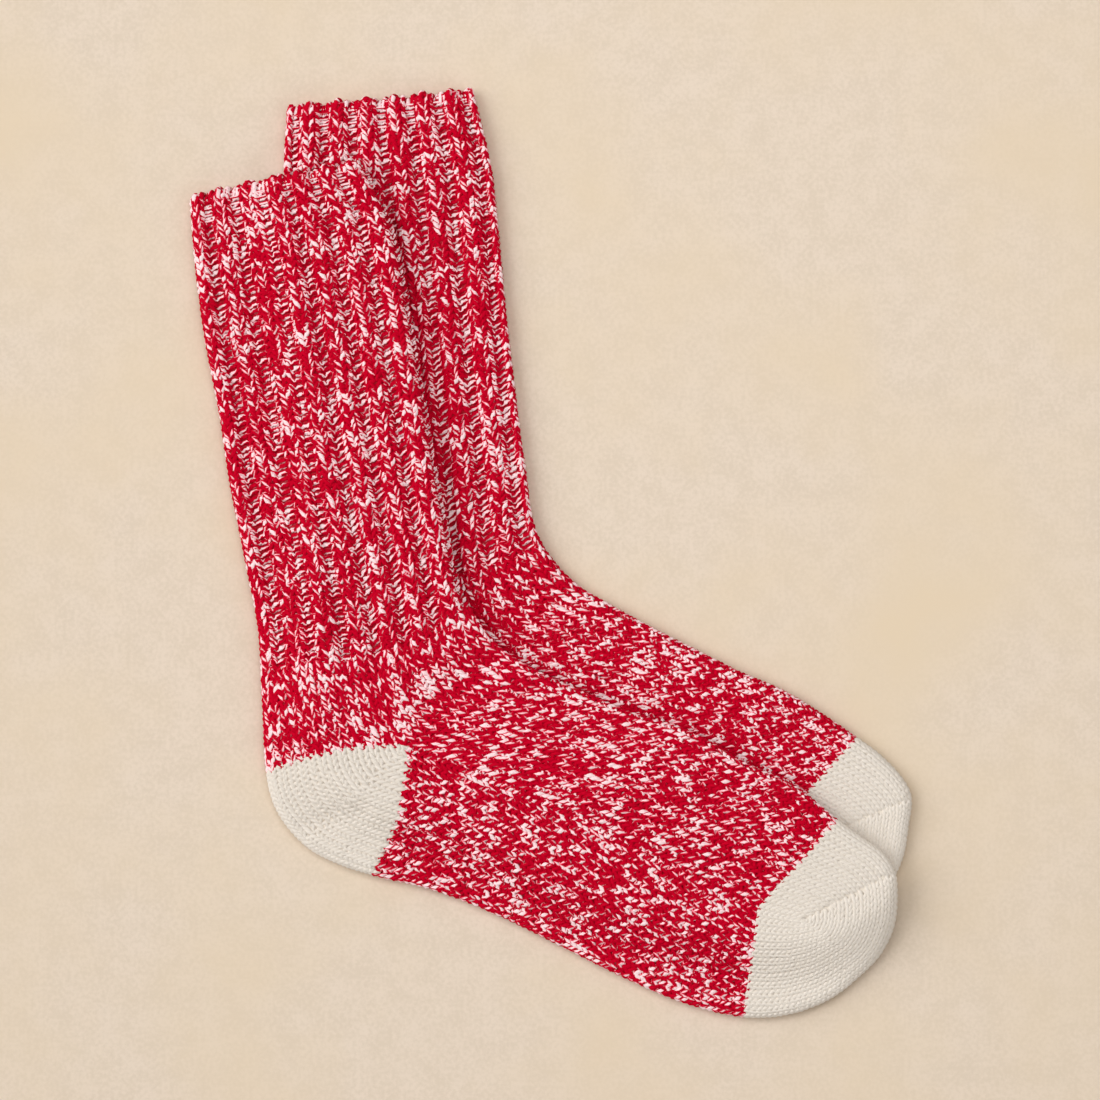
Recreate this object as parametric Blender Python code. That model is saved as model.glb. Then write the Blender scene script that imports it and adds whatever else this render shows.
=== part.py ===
"""A pair of knitted boot socks laid flat, the front sock lying partly on the back one.

Each sock is knitted as one tube and has four areas of its own here: a ribbed leg, a turned
heel pocket in plain yarn, a smooth foot, and a closed toe pocket in plain yarn. Each area is
a cloth wall round a thin flat hollow. Its plan is a patch between four edge curves, and its
heights depend only on how far a point lies inside the sock's outline, so that neighbouring
areas meet in line. The leg's ribs are raised in the wall's outer points over a plain inside.

Metres, +Z up. X and Y are the plan, as seen from above, and the pair rests on Z = 0.
"""

from collections import namedtuple

import bpy
import numpy as np

MM = 0.001

# The cloth and the flattened tube
WALL = 2.2 * MM
HOLLOW = 1.8 * MM
SOCK_HEIGHT = 2 * WALL + HOLLOW
UPPER_ROUND = 5.0 * MM        # how far in the upper side takes to reach its full height
UNDER_ROUND = 2.6 * MM        # the same on the side that rests
INSET_REACH = 14.0 * MM       # how far in the hollow's points are crowded by the wall
ON_FOLD = 0.2 * MM            # a point this near the fold counts as lying on it
SEAM_GAP = 0.4 * MM

# The leg's ribs
RIBS_PER_FACE = 7
RIB_HEIGHT = 0.9 * MM
RIB_PROFILE = ((0.16, 0.0), (0.30, 0.85), (0.50, 1.0), (0.70, 0.85), (0.84, 0.0))
RIBS_FULL_TO = 0.80           # share of the leg's length from the cuff
RIBS_END_AT = 0.87

# The front sock rests on the back one
LAYER_GAP = 0.5 * MM
DRAPE_RUN = 20.0 * MM         # how far past the back sock's edge the front one comes down
DRAPE_LEAD = 1.5 * MM         # how far inside that edge it starts to

SPAN_STEPS = 12               # points to a span of a smooth line
SAME_POINT = 0.002 * MM       # points nearer than this are one
SHARP_ABOVE = np.radians(50)  # an edge that turns by more is shaded as an edge

Leg = namedtuple("Leg", "back_x back_y front_x front_y")
Foot = namedtuple("Foot", "sole_x sole_y instep_x instep_y")
Point = namedtuple("Point", "x y")
Trough = namedtuple("Trough", "x0 y0 x1 y1 half_width depth")
Sock = namedtuple("Sock", "name leg heel gore foot toe_corner toe tip troughs")

# All the tables below are in millimetres. A leg's rows run from the cuff to the ankle, its
# back edge ending at the heel and its front edge where the instep begins. A foot's rows run
# from there to the toe. Heel and toe follow the outline on round, the heel from the leg's
# last row to the foot's first, the toe from the sole to the instep.

FRONT_SOCK = Sock(
    name="upper",
    leg=(
        Leg(-130.0, 128.0, -66.5, 141.0),
        Leg(-128.0, 102.5, -55.0, 115.5),
        Leg(-124.5, 76.5, -50.0, 91.5),
        Leg(-119.5, 50.5, -46.0, 68.0),
        Leg(-115.5, 24.5, -42.0, 44.0),
        Leg(-110.5, -1.0, -37.0, 15.5),
        Leg(-105.5, -27.0, -30.0, -15.0),
        Leg(-104.0, -53.0, -19.0, -32.0),
        Leg(-102.5, -79.0, -5.5, -41.0),
    ),
    heel=(Point(-100.0, -90.0), Point(-95.0, -98.5), Point(-87.0, -106.5), Point(-76.5, -112.0)),
    gore=Point(-51.5, -69.0),
    foot=(
        Foot(-64.5, -116.0, -5.5, -41.0),
        Foot(-42.0, -121.5, 14.0, -50.0),
        Foot(-19.0, -130.5, 32.0, -57.5),
        Foot(3.5, -141.5, 50.0, -63.0),
        Foot(25.5, -152.5, 69.0, -74.0),
        Foot(48.0, -162.0, 88.0, -83.0),
        Foot(69.5, -167.0, 103.0, -95.0),
    ),
    toe_corner=Point(74.5, -127.0),
    toe=(
        Point(86.0, -166.0), Point(100.5, -160.5), Point(110.5, -153.0), Point(119.0, -144.0),
        Point(123.5, -134.0), Point(124.5, -122.0), Point(123.5, -113.5), Point(119.5, -107.0),
        Point(112.0, -101.5),
    ),
    tip=3,
    troughs=(Trough(-14.0, -32.0, -43.0, -55.0, 7.5, 1.3),),
)

BACK_SOCK = Sock(
    name="lower",
    leg=(
        Leg(-95.0, 160.5, -27.5, 166.5),
        Leg(-96.0, 135.0, -21.0, 139.5),
        Leg(-93.0, 108.0, -18.0, 113.0),
        Leg(-89.0, 81.5, -15.5, 87.0),
        Leg(-86.0, 54.5, -12.5, 60.5),
        Leg(-83.5, 27.5, -9.0, 34.0),
        Leg(-83.0, 0.0, -4.0, 6.5),
        Leg(-84.0, -27.0, 7.5, -9.0),
        Leg(-86.0, -54.0, 21.5, -18.0),
    ),
    heel=(Point(-84.0, -65.5), Point(-79.5, -75.5), Point(-71.5, -83.0), Point(-60.5, -87.5)),
    gore=Point(-35.0, -44.5),
    foot=(
        Foot(-49.5, -90.0, 21.5, -18.0),
        Foot(-29.0, -97.0, 40.0, -28.0),
        Foot(-7.5, -106.5, 54.0, -35.0),
        Foot(14.0, -117.0, 69.0, -42.5),
        Foot(36.0, -127.0, 83.0, -48.5),
        Foot(56.5, -134.0, 96.5, -56.5),
        Foot(77.5, -137.5, 110.5, -66.0),
    ),
    toe_corner=Point(82.0, -97.5),
    toe=(
        Point(92.5, -137.0), Point(106.5, -132.5), Point(115.5, -126.0), Point(122.0, -119.5),
        Point(127.0, -109.0), Point(129.0, -97.5), Point(130.0, -87.5), Point(127.0, -81.0),
        Point(118.5, -72.0),
    ),
    tip=4,
    troughs=(Trough(24.0, -46.0, 46.0, -57.0, 6.0, 0.9),),
)

HEEL_TOP_BULGE = 3.0          # how far the heel's seams bow out of the straight, millimetres
HEEL_SOLE_BULGE = 3.6

# Shares across a patch, close together at its two folded edges
FOLD_SHARES = (0.0, 0.008, 0.026, 0.06)
UNDER_ACROSS = (0.12, 0.21, 0.31, 0.41, 0.5, 0.59, 0.69, 0.79, 0.88)
FOOT_ACROSS = (0.11, 0.18, 0.26, 0.34, 0.42, 0.5, 0.58, 0.66, 0.74, 0.82, 0.89)
LEG_ROWS = (0.0, 0.1, 0.2, 0.3, 0.4, 0.5, 0.6, 0.7, 0.80, 0.87, 0.91, 0.955, 1.0)
FOOT_ROWS = (0.0, 0.05, 0.11, 0.18, 0.27, 0.36, 0.46, 0.56, 0.66, 0.76, 0.88, 1.0)
HEEL_TURNS = 11
HEEL_ROWS = (0.0, 0.12, 0.28, 0.46, 0.62, 0.76, 0.87, 0.94, 0.983, 1.0)
TOE_ROWS = (0.0, 0.16, 0.32, 0.48, 0.63, 0.76, 0.86, 0.93, 0.974, 1.0)

MARL_RED = (0.62, 0.045, 0.075, 1.0)
CREAM = (0.82, 0.77, 0.67, 1.0)


# Curves in the plan

def smooth_line(stations):
    """Points along the smooth curve through the stations, SPAN_STEPS to a span."""
    points = np.array(stations, dtype=float)
    chords = np.linalg.norm(np.diff(points, axis=0), axis=1)
    knots = np.concatenate([[0.0], np.cumsum(np.sqrt(chords))])
    slopes = np.gradient(points, knots, axis=0)
    t = np.arange(SPAN_STEPS)[:, None] / SPAN_STEPS
    spans = []
    for k, width in enumerate(np.diff(knots)):
        start, end = points[k], points[k + 1]
        leave, arrive = slopes[k] * width, slopes[k + 1] * width
        spans.append(
            (2 * t**3 - 3 * t**2 + 1) * start + (t**3 - 2 * t**2 + t) * leave
            + (3 * t**2 - 2 * t**3) * end + (t**3 - t**2) * arrive
        )
    return np.vstack(spans + [points[-1:]])


def along(points):
    """A function from a share of the line's length to the point there."""
    lengths = np.linalg.norm(np.diff(points, axis=0), axis=1)
    shares = np.concatenate([[0.0], np.cumsum(lengths)])
    shares = shares / shares[-1]

    def point_at(share):
        return np.stack([np.interp(share, shares, points[:, axis]) for axis in (0, 1)], axis=-1)

    return point_at


def bowed(start, end, bulge=0.0):
    """A function for a line from start to end that bows to its left by bulge."""
    start, end = np.array(start), np.array(end)
    run = end - start
    side = np.array([-run[1], run[0]]) / np.linalg.norm(run)

    def point_at(share):
        share = np.asarray(share, dtype=float)[..., None]
        return start + run * share + side * bulge * 4 * share * (1 - share)

    return point_at


def gathered(point):
    """A function for an edge of a patch that has drawn together into one point."""
    def point_at(share):
        return np.broadcast_to(point, (*np.shape(share), 2))

    return point_at


def joined(first, second):
    """Two lines as one function, meeting at a share of one half."""
    def point_at(share):
        share = np.asarray(share, dtype=float)
        before = first(np.clip(2 * share, 0, 1))
        after = second(np.clip(2 * share - 1, 0, 1))
        return np.where((share < 0.5)[..., None], before, after)

    return point_at


def patch(near, far, left, right, across, rows):
    """Plan points, a row for each of rows, of the area that four edge curves bound."""
    u, v = across[None, :, None], rows[:, None, None]
    first, last = np.array(0.0), np.array(1.0)
    corners = (
        (1 - v) * ((1 - u) * near(first) + u * near(last))
        + v * ((1 - u) * far(first) + u * far(last))
    )
    lengthways = (1 - v) * near(across)[None] + v * far(across)[None]
    crossways = (1 - u) * left(rows)[:, None] + u * right(rows)[:, None]
    return lengthways + crossways - corners


def drawn_in(plan, row, inner_row):
    """Moves one row of the plan half a seam's gap towards the next row in."""
    step = plan[inner_row] - plan[row]
    length = np.linalg.norm(step, axis=-1, keepdims=True)
    plan[row] += step / np.maximum(length, SAME_POINT) * SEAM_GAP / 2


# One sock's outline and heights

class Shape:
    """A sock's plan outline, and the heights that follow from it."""

    def __init__(self, sock, centre):
        leg = (np.array(sock.leg) - [*centre, *centre]) * MM
        foot = (np.array(sock.foot) - [*centre, *centre]) * MM
        heel = (np.array(sock.heel) - centre) * MM
        toe = (np.array(sock.toe) - centre) * MM
        stations = [
            *leg[:, :2], *heel, *foot[:, :2], *toe, *foot[::-1, 2:], *leg[-2::-1, 2:],
        ]
        self.heel_top = len(leg) - 1
        self.heel_end = self.heel_top + len(heel) + 1
        self.toe_sole = self.heel_end + len(foot) - 1
        self.tip = self.toe_sole + sock.tip + 1
        self.toe_instep = self.toe_sole + len(toe) + 1
        self.ankle = self.toe_instep + len(foot) - 1
        self.cuff_front = len(stations) - 1
        self.outline = smooth_line(stations)
        self.gore = (np.array(sock.gore) - centre) * MM
        self.toe_corner = (np.array(sock.toe_corner) - centre) * MM
        self.troughs = [
            (np.array([[t.x0, t.y0], [t.x1, t.y1]]) - centre) * MM
            for t in sock.troughs
        ]
        self.trough_sizes = [(t.half_width * MM, t.depth * MM) for t in sock.troughs]
        self.name = sock.name

    def edge(self, start, end):
        """The outline between two stations, either way round."""
        low, high = min(start, end) * SPAN_STEPS, max(start, end) * SPAN_STEPS
        points = self.outline[low:high + 1]
        return along(points if start < end else points[::-1])

    def station(self, index):
        return self.outline[index * SPAN_STEPS]

    def depth_inside(self, points):
        """Distance from the nearest fold, and the direction away from it."""
        start, run = self.outline[:-1], np.diff(self.outline, axis=0)
        offset = points[..., None, :] - start
        share = np.clip((offset * run).sum(-1) / (run**2).sum(-1), 0, 1)
        away = offset - share[..., None] * run
        distance = np.linalg.norm(away, axis=-1)
        nearest = distance.argmin(-1)[..., None]
        away = np.take_along_axis(away, nearest[..., None], axis=-2)[..., 0, :]
        distance = np.take_along_axis(distance, nearest, axis=-1)
        square = np.stack([-run[:, 1], run[:, 0]], axis=-1) / np.linalg.norm(run, axis=-1)[:, None]
        on_fold = distance < ON_FOLD
        inward = np.where(on_fold, square[nearest[..., 0]], away / np.maximum(distance, ON_FOLD))
        return distance[..., 0], inward

    def contains(self, points):
        """True for the points inside the outline, with the cuff's line closing it."""
        start, end = self.outline, np.roll(self.outline, -1, axis=0)
        x, y = points[..., 0, None], points[..., 1, None]
        spans = (start[:, 1] > y) != (end[:, 1] > y)
        rise = np.where(end[:, 1] == start[:, 1], 1.0, end[:, 1] - start[:, 1])
        crossing = start[:, 0] + (y - start[:, 1]) / rise * (end[:, 0] - start[:, 0])
        return (spans & (x < crossing)).sum(-1) % 2 == 1

    def sunk(self, points):
        """How far the troughs of the upper side go down at each point."""
        total = np.zeros(points.shape[:-1])
        for (start, end), (half_width, depth) in zip(self.troughs, self.trough_sizes):
            run = end - start
            share = np.clip(((points - start) * run).sum(-1) / (run**2).sum(), 0, 1)
            distance = np.linalg.norm(points - start - share[..., None] * run, axis=-1)
            total += depth * np.exp(-((distance / half_width) ** 2))
        return total


def rounded(depth, reach):
    """0 on the fold and 1 from reach inwards, along a quarter of an ellipse."""
    return np.sqrt(1 - (1 - np.clip(depth / reach, 0, 1)) ** 2)


def rest_level(points, under):
    """Height of what the sock lies on: the floor, or the sock beneath and the slope off it."""
    if under is None:
        return np.zeros(points.shape[:-1])
    distance, _ = under.depth_inside(points)
    signed = np.where(under.contains(points), distance, -distance)
    share = np.clip((signed + DRAPE_RUN) / (DRAPE_RUN + DRAPE_LEAD), 0, 1)
    full = SOCK_HEIGHT + RIB_HEIGHT + LAYER_GAP
    return full * share**2 * (3 - 2 * share)


def cloth_points(shape, under, plan, raised=0.0):
    """Outer and inner points of both sides of the wall over the plan points.

    Returns upper outer, upper inner, under outer and under inner.
    """
    depth, inward = shape.depth_inside(plan)
    level = rest_level(plan, under) + SOCK_HEIGHT / 2
    sunk = shape.sunk(plan) * rounded(depth, UPPER_ROUND)
    outer_top = level + SOCK_HEIGHT / 2 * rounded(depth, UPPER_ROUND) - sunk + raised
    outer_base = level - SOCK_HEIGHT / 2 * rounded(depth, UNDER_ROUND)

    inner_depth = np.where(
        depth < INSET_REACH, WALL + depth * (INSET_REACH - WALL) / INSET_REACH, depth
    )
    inner_plan = plan + inward * (inner_depth - depth)[..., None]
    inner_level = rest_level(inner_plan, under) + SOCK_HEIGHT / 2
    half = HOLLOW / 2 * rounded(inner_depth - WALL, HOLLOW)
    inner_sunk = shape.sunk(inner_plan) * rounded(inner_depth - WALL, UPPER_ROUND)
    inner_top = inner_level + half - np.minimum(inner_sunk, half)
    inner_base = inner_level - half

    def at(points, heights):
        return np.concatenate([points, heights[..., None]], axis=-1)

    return at(plan, outer_top), at(inner_plan, inner_top), at(plan, outer_base), at(inner_plan, inner_base)


# Solids

def solid(name, outer, inner, closed_round, material):
    """A wall between two grids of points, with its open sides closed by the wall's edge.

    outer and inner are grids of equal size. With closed_round, the last column joins the
    first. Points that coincide, as at a pole, are welded.
    """
    rows, columns = outer.shape[:2]
    points = np.vstack([outer.reshape(-1, 3), inner.reshape(-1, 3)])
    inside = rows * columns
    faces = []
    last_column = columns if closed_round else columns - 1
    for i in range(rows - 1):
        for j in range(last_column):
            a, b = i * columns + j, i * columns + (j + 1) % columns
            c, d = b + columns, a + columns
            faces.append((a, d, c, b))
            faces.append((inside + a, inside + b, inside + c, inside + d))
    for j in range(last_column):
        a, b = j, (j + 1) % columns
        faces.append((a, b, inside + b, inside + a))
        a, b = a + (rows - 1) * columns, b + (rows - 1) * columns
        faces.append((a, inside + a, inside + b, b))
    if not closed_round:
        for i in range(rows - 1):
            a, b = i * columns, (i + 1) * columns
            faces.append((b, a, inside + a, inside + b))
            a, b = a + columns - 1, b + columns - 1
            faces.append((a, b, inside + b, inside + a))

    # weld coinciding points, and drop the faces that this leaves without an area
    keys = np.round(points / SAME_POINT).astype(np.int64)
    _, first, index = np.unique(keys, axis=0, return_index=True, return_inverse=True)
    index = index.reshape(-1)
    welded = points[first]
    triangles = []
    for a, b, c, d in faces:
        for corners in ((a, b, c), (a, c, d)):
            corners = [int(index[corner]) for corner in corners]
            if len(set(corners)) == 3:
                triangles.append(corners)

    mesh = bpy.data.meshes.new(name)
    mesh.from_pydata(welded.tolist(), [], triangles)
    mesh.materials.append(material)
    mesh.shade_smooth()
    mesh.set_sharp_from_angle(angle=SHARP_ABOVE)
    thing = bpy.data.objects.new(name, mesh)
    bpy.context.collection.objects.link(thing)
    return thing


def ring(over, under):
    """One closed round of a tube: over the upper side, and back along the under side."""
    return np.concatenate([over, under[:, -2:0:-1]], axis=1)


def folded_shares(middle):
    """Shares from 0 to 1 that crowd at both folds, with the middle ones between."""
    fold = np.array(FOLD_SHARES)
    return np.unique(np.concatenate([fold, middle, 1 - fold]))


def rib_shares():
    """Shares across the leg at the corners of its ribs, and how high each one is raised."""
    places, heights = [], []
    for rib in range(RIBS_PER_FACE):
        for place, height in RIB_PROFILE:
            places.append((rib + place) / RIBS_PER_FACE)
            heights.append(height)
    return np.array(places), np.array(heights)


def tube(shape, under, plan_of, upper, lower, raise_upper, name, material):
    """A length of tube, open at both ends, over the patch that plan_of gives."""
    over_plan, under_plan = plan_of(upper), plan_of(lower)
    over_outer, over_inner, _, _ = cloth_points(shape, under, over_plan, raise_upper)
    _, _, base_outer, base_inner = cloth_points(shape, under, under_plan)
    outer, inner = ring(over_outer, base_outer), ring(over_inner, base_inner)
    return solid(name, outer, inner, True, material)


def leg(shape, under, material):
    """The ribbed leg, from the open cuff to the heel and the bend of the ankle."""
    heel_top, ankle = shape.station(shape.heel_top), shape.station(shape.ankle)
    near = bowed(shape.station(0), shape.station(shape.cuff_front))
    far = joined(
        bowed(heel_top, shape.gore, HEEL_TOP_BULGE * MM),
        bowed(shape.gore, ankle),
    )
    back = shape.edge(0, shape.heel_top)
    front = shape.edge(shape.cuff_front, shape.ankle)
    rows = np.array(LEG_ROWS)

    def plan_of(across):
        plan = patch(near, far, back, front, across, rows)
        drawn_in(plan, -1, -2)
        return plan

    rib_places, rib_heights = rib_shares()
    fold = np.array(FOLD_SHARES[:2])
    upper = np.unique(np.concatenate([fold, rib_places, 1 - fold]))
    heights = np.interp(upper, rib_places, rib_heights, left=0.0, right=0.0)
    fade = np.clip((RIBS_END_AT - rows) / (RIBS_END_AT - RIBS_FULL_TO), 0, 1)
    raised = RIB_HEIGHT * heights[None, :] * fade[:, None]
    lower = folded_shares(UNDER_ACROSS)
    return tube(shape, under, plan_of, upper, lower, raised, shape.name + "_leg", material)


def foot(shape, under, material):
    """The smooth foot, from the ankle and the heel to the toe."""
    near = joined(
        bowed(shape.station(shape.heel_end), shape.gore, -HEEL_SOLE_BULGE * MM),
        bowed(shape.gore, shape.station(shape.ankle)),
    )
    far = joined(
        bowed(shape.station(shape.toe_sole), shape.toe_corner),
        bowed(shape.toe_corner, shape.station(shape.toe_instep)),
    )
    sole = shape.edge(shape.heel_end, shape.toe_sole)
    instep = shape.edge(shape.ankle, shape.toe_instep)
    rows = np.array(FOOT_ROWS)

    def plan_of(across):
        plan = patch(near, far, sole, instep, across, rows)
        drawn_in(plan, 0, 1)
        drawn_in(plan, -1, -2)
        return plan

    upper = folded_shares(FOOT_ACROSS)
    lower = folded_shares(UNDER_ACROSS)
    return tube(shape, under, plan_of, upper, lower, 0.0, shape.name + "_foot", material)


def heel(shape, under, material):
    """The heel pocket: it fans out from the gore's corner, and folds over at the outline."""
    outline = shape.edge(shape.heel_top, shape.heel_end)
    turns = np.linspace(1, 0, HEEL_TURNS)[:, None, None]
    reach = np.array(HEEL_ROWS)[None, :, None]
    ends = outline(turns[:, 0, 0])[:, None]
    top = bowed(shape.station(shape.heel_top), shape.gore, HEEL_TOP_BULGE * MM)
    sole = bowed(shape.station(shape.heel_end), shape.gore, -HEEL_SOLE_BULGE * MM)
    middle = np.array(0.5)
    bow_top = top(middle) - (shape.station(shape.heel_top) + shape.gore) / 2
    bow_sole = sole(middle) - (shape.station(shape.heel_end) + shape.gore) / 2
    bow = (1 - turns) * bow_top + turns * bow_sole
    plan = shape.gore + (ends - shape.gore) * reach + bow * 4 * reach * (1 - reach)
    drawn_in(plan, 0, 1)
    drawn_in(plan, -1, -2)
    inward = ends[HEEL_TURNS // 2, 0] - shape.gore
    plan[:, 0] += inward / np.linalg.norm(inward) * SEAM_GAP

    over_outer, over_inner, base_outer, base_inner = cloth_points(shape, under, plan)
    outer = np.concatenate([over_outer, base_outer[:, -2::-1]], axis=1)
    inner = np.concatenate([over_inner, base_inner[:, -2::-1]], axis=1)
    return solid(shape.name + "_heel", outer, inner, False, material)


def toe(shape, under, material):
    """The toe pocket, closed all round its end."""
    near = joined(
        bowed(shape.station(shape.toe_sole), shape.toe_corner),
        bowed(shape.toe_corner, shape.station(shape.toe_instep)),
    )
    sole = shape.edge(shape.toe_sole, shape.tip)
    instep = shape.edge(shape.toe_instep, shape.tip)
    tip = shape.station(shape.tip)
    far = gathered(tip)
    rows = np.array(TOE_ROWS)

    def plan_of(across):
        plan = patch(near, far, sole, instep, across, rows)
        drawn_in(plan, 0, 1)
        plan[-1] = tip
        return plan

    upper = folded_shares(FOOT_ACROSS)
    lower = folded_shares(UNDER_ACROSS)
    return tube(shape, under, plan_of, upper, lower, 0.0, shape.name + "_toe", material)


# Materials

def yarn(name, colour):
    """A plain matt yarn."""
    material = bpy.data.materials.new(name)
    material.use_nodes = True
    shader = material.node_tree.nodes["Principled BSDF"]
    shader.inputs["Base Color"].default_value = colour
    shader.inputs["Roughness"].default_value = 0.95
    shader.inputs["Metallic"].default_value = 0.0
    return material


def centre_of(*socks):
    """The middle of the plan box round every sock, in millimetres."""
    points = np.vstack([
        smooth_line([*np.array(sock.leg)[:, :2], *sock.heel, *np.array(sock.foot)[:, :2],
                     *sock.toe, *np.array(sock.foot)[::-1, 2:], *np.array(sock.leg)[-2::-1, 2:]])
        for sock in socks
    ])
    return (points.min(axis=0) + points.max(axis=0)) / 2


for startup in list(bpy.data.objects):
    bpy.data.objects.remove(startup, do_unlink=True)

marl = yarn("red and white marl", MARL_RED)
cream = yarn("cream yarn", CREAM)
middle_of_pair = centre_of(FRONT_SOCK, BACK_SOCK)
back_shape = Shape(BACK_SOCK, middle_of_pair)
front_shape = Shape(FRONT_SOCK, middle_of_pair)
for shape, under in ((back_shape, None), (front_shape, back_shape)):
    leg(shape, under, marl)
    heel(shape, under, cream)
    foot(shape, under, marl)
    toe(shape, under, cream)
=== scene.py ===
"""A pair of marled boot socks laid flat: real loops of yarn, knitted over a thin cloth."""

import bpy
import numpy as np
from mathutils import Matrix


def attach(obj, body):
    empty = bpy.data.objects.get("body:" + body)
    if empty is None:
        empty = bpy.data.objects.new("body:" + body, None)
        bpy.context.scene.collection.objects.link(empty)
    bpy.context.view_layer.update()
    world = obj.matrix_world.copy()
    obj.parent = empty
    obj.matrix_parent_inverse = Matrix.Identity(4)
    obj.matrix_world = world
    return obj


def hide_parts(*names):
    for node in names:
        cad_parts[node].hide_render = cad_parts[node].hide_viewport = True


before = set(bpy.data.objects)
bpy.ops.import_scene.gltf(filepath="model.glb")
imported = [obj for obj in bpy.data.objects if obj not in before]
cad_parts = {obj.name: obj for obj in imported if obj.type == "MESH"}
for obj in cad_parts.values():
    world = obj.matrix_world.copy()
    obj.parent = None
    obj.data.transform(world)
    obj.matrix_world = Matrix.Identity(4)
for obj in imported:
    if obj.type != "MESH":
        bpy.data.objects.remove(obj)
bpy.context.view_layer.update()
bpy.ops.object.select_all(action="DESELECT")

# The table top, the light and the camera.
# A pale warm paper board lies under the socks, lit softly from the left with a weak fill
# from the lower right, and the camera looks straight down on it from well above.

MM = 0.001
CAMERA_ABOVE = (-0.24 * MM, 1.5 * MM, 1.65)
CAMERA_LENS = 150
BOARD_SIDE = 14.0
BOARD_COLOUR = (0.723, 0.606, 0.482, 1)
BOARD_MOTTLE = (0.783, 0.661, 0.540, 1)
BOARD_STAIN = (0.765, 0.625, 0.455, 1)
GRAIN_SCALE, CLOUD_SCALE, STAIN_SCALE = 700.0, 110.0, 11.0
GRAIN_SHARE = 0.6
SKY_COLOUR, SKY_STRENGTH = (1.0, 0.955, 0.90, 1), 0.32

camera = bpy.data.objects.new("camera", bpy.data.cameras.new("camera"))
bpy.context.collection.objects.link(camera)
camera.location = CAMERA_ABOVE
camera.data.lens = CAMERA_LENS
camera.data.clip_end = 20
bpy.context.scene.camera = camera
bpy.context.scene.view_settings.view_transform = "Standard"

world = bpy.data.worlds.new("studio")
bpy.context.scene.world = world
world.use_nodes = True
world.node_tree.nodes["Background"].inputs["Color"].default_value = SKY_COLOUR
world.node_tree.nodes["Background"].inputs["Strength"].default_value = SKY_STRENGTH

for name, place, size, watts in (
    ("window", (-6.0, 2.0, 5.0), 7.0, 512.0),
    ("fill", (4.2, -3.9, 4.0), 5.5, 85.0),
    ("overhead", (0.04, 0.25, 0.95), 0.5, 2.6),
):
    lamp = bpy.data.objects.new(name, bpy.data.lights.new(name, "AREA"))
    bpy.context.collection.objects.link(lamp)
    lamp.location = place
    lamp.data.size = size
    lamp.data.energy = watts
    lamp.visible_camera = False
    lamp.rotation_euler = (
        np.arctan2(np.hypot(place[0], place[1]), place[2]), 0,
        np.arctan2(place[1], place[0]) + np.pi / 2,
    )

bpy.ops.mesh.primitive_plane_add(size=BOARD_SIDE, location=(0, 0, -0.02 * MM))
board = bpy.context.object
board.name = "board"


def new_material(name, roughness=0.9):
    """A material with its principled shader and its node tree."""
    material = bpy.data.materials.new(name)
    material.use_nodes = True
    tree = material.node_tree
    shader = tree.nodes["Principled BSDF"]
    shader.inputs["Roughness"].default_value = roughness
    return material, tree, shader


def add_node(tree, kind, inputs=(), **settings):
    """A node with its settings and inputs; an input may be a value or another node's output."""
    node = tree.nodes.new(kind)
    for key, value in settings.items():
        setattr(node, key, value)
    for key, value in dict(inputs).items():
        if isinstance(value, bpy.types.NodeSocket):
            tree.links.new(value, node.inputs[key])
        else:
            node.inputs[key].default_value = value
    return node


def maths(tree, operation, *values):
    """The result of one step of arithmetic."""
    return add_node(tree, "ShaderNodeMath", enumerate(values), operation=operation).outputs[0]


def here_on(tree):
    """Where a point of the surface is, on its own object."""
    return add_node(tree, "ShaderNodeTexCoord").outputs["Object"]


def noise(tree, where, scale, detail):
    """Soft random values over the surface."""
    inputs = {"Vector": where, "Scale": scale, "Detail": detail}
    return add_node(tree, "ShaderNodeTexNoise", inputs).outputs["Fac"]


def ranged(tree, value, low, high, to=(0.0, 1.0), **settings):
    """A value between low and high, stretched to the range that to gives."""
    inputs = {"Value": value, "From Min": low, "From Max": high, "To Min": to[0], "To Max": to[1]}
    return add_node(tree, "ShaderNodeMapRange", inputs, **settings).outputs["Result"]


def roughened(tree, shader, height, strength, distance):
    """Gives the surface small relief."""
    inputs = {"Height": height, "Strength": strength, "Distance": distance}
    bump = add_node(tree, "ShaderNodeBump", inputs)
    tree.links.new(bump.outputs["Normal"], shader.inputs["Normal"])


def blend_colours(tree, share, first, second):
    """Two colours mixed by a share."""
    node = add_node(tree, "ShaderNodeMix", data_type="RGBA", blend_type="MIX")
    for key, value in (("Factor_Float", share), ("A_Color", first), ("B_Color", second)):
        socket = next(s for s in node.inputs if s.identifier == key)
        if isinstance(value, bpy.types.NodeSocket):
            tree.links.new(value, socket)
        else:
            socket.default_value = value
    return next(s for s in node.outputs if s.identifier == "Result_Color")


paper, tree, shader = new_material("paper board", 0.85)
where = here_on(tree)
clouds, grain = noise(tree, where, CLOUD_SCALE, 5.0), noise(tree, where, GRAIN_SCALE, 3.0)
both = maths(tree, "MULTIPLY_ADD", grain, GRAIN_SHARE, maths(
    tree, "MULTIPLY", clouds, 1 - GRAIN_SHARE))
mottled = blend_colours(tree, ranged(tree, both, 0.41, 0.59), BOARD_COLOUR, BOARD_MOTTLE)
stained = ranged(tree, noise(tree, where, STAIN_SCALE, 6.0), 0.42, 0.72)
warmed = blend_colours(tree, stained, mottled, BOARD_STAIN)
tree.links.new(warmed, shader.inputs["Base Color"])
roughened(tree, shader, grain, 0.12, 0.3 * MM)
board.data.materials.append(paper)

# The lie of the two socks.
# Each sock is one knitted tube pressed flat, with a turned heel pocket and a closed toe
# pocket, and the front sock is draped over the back one.

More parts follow.
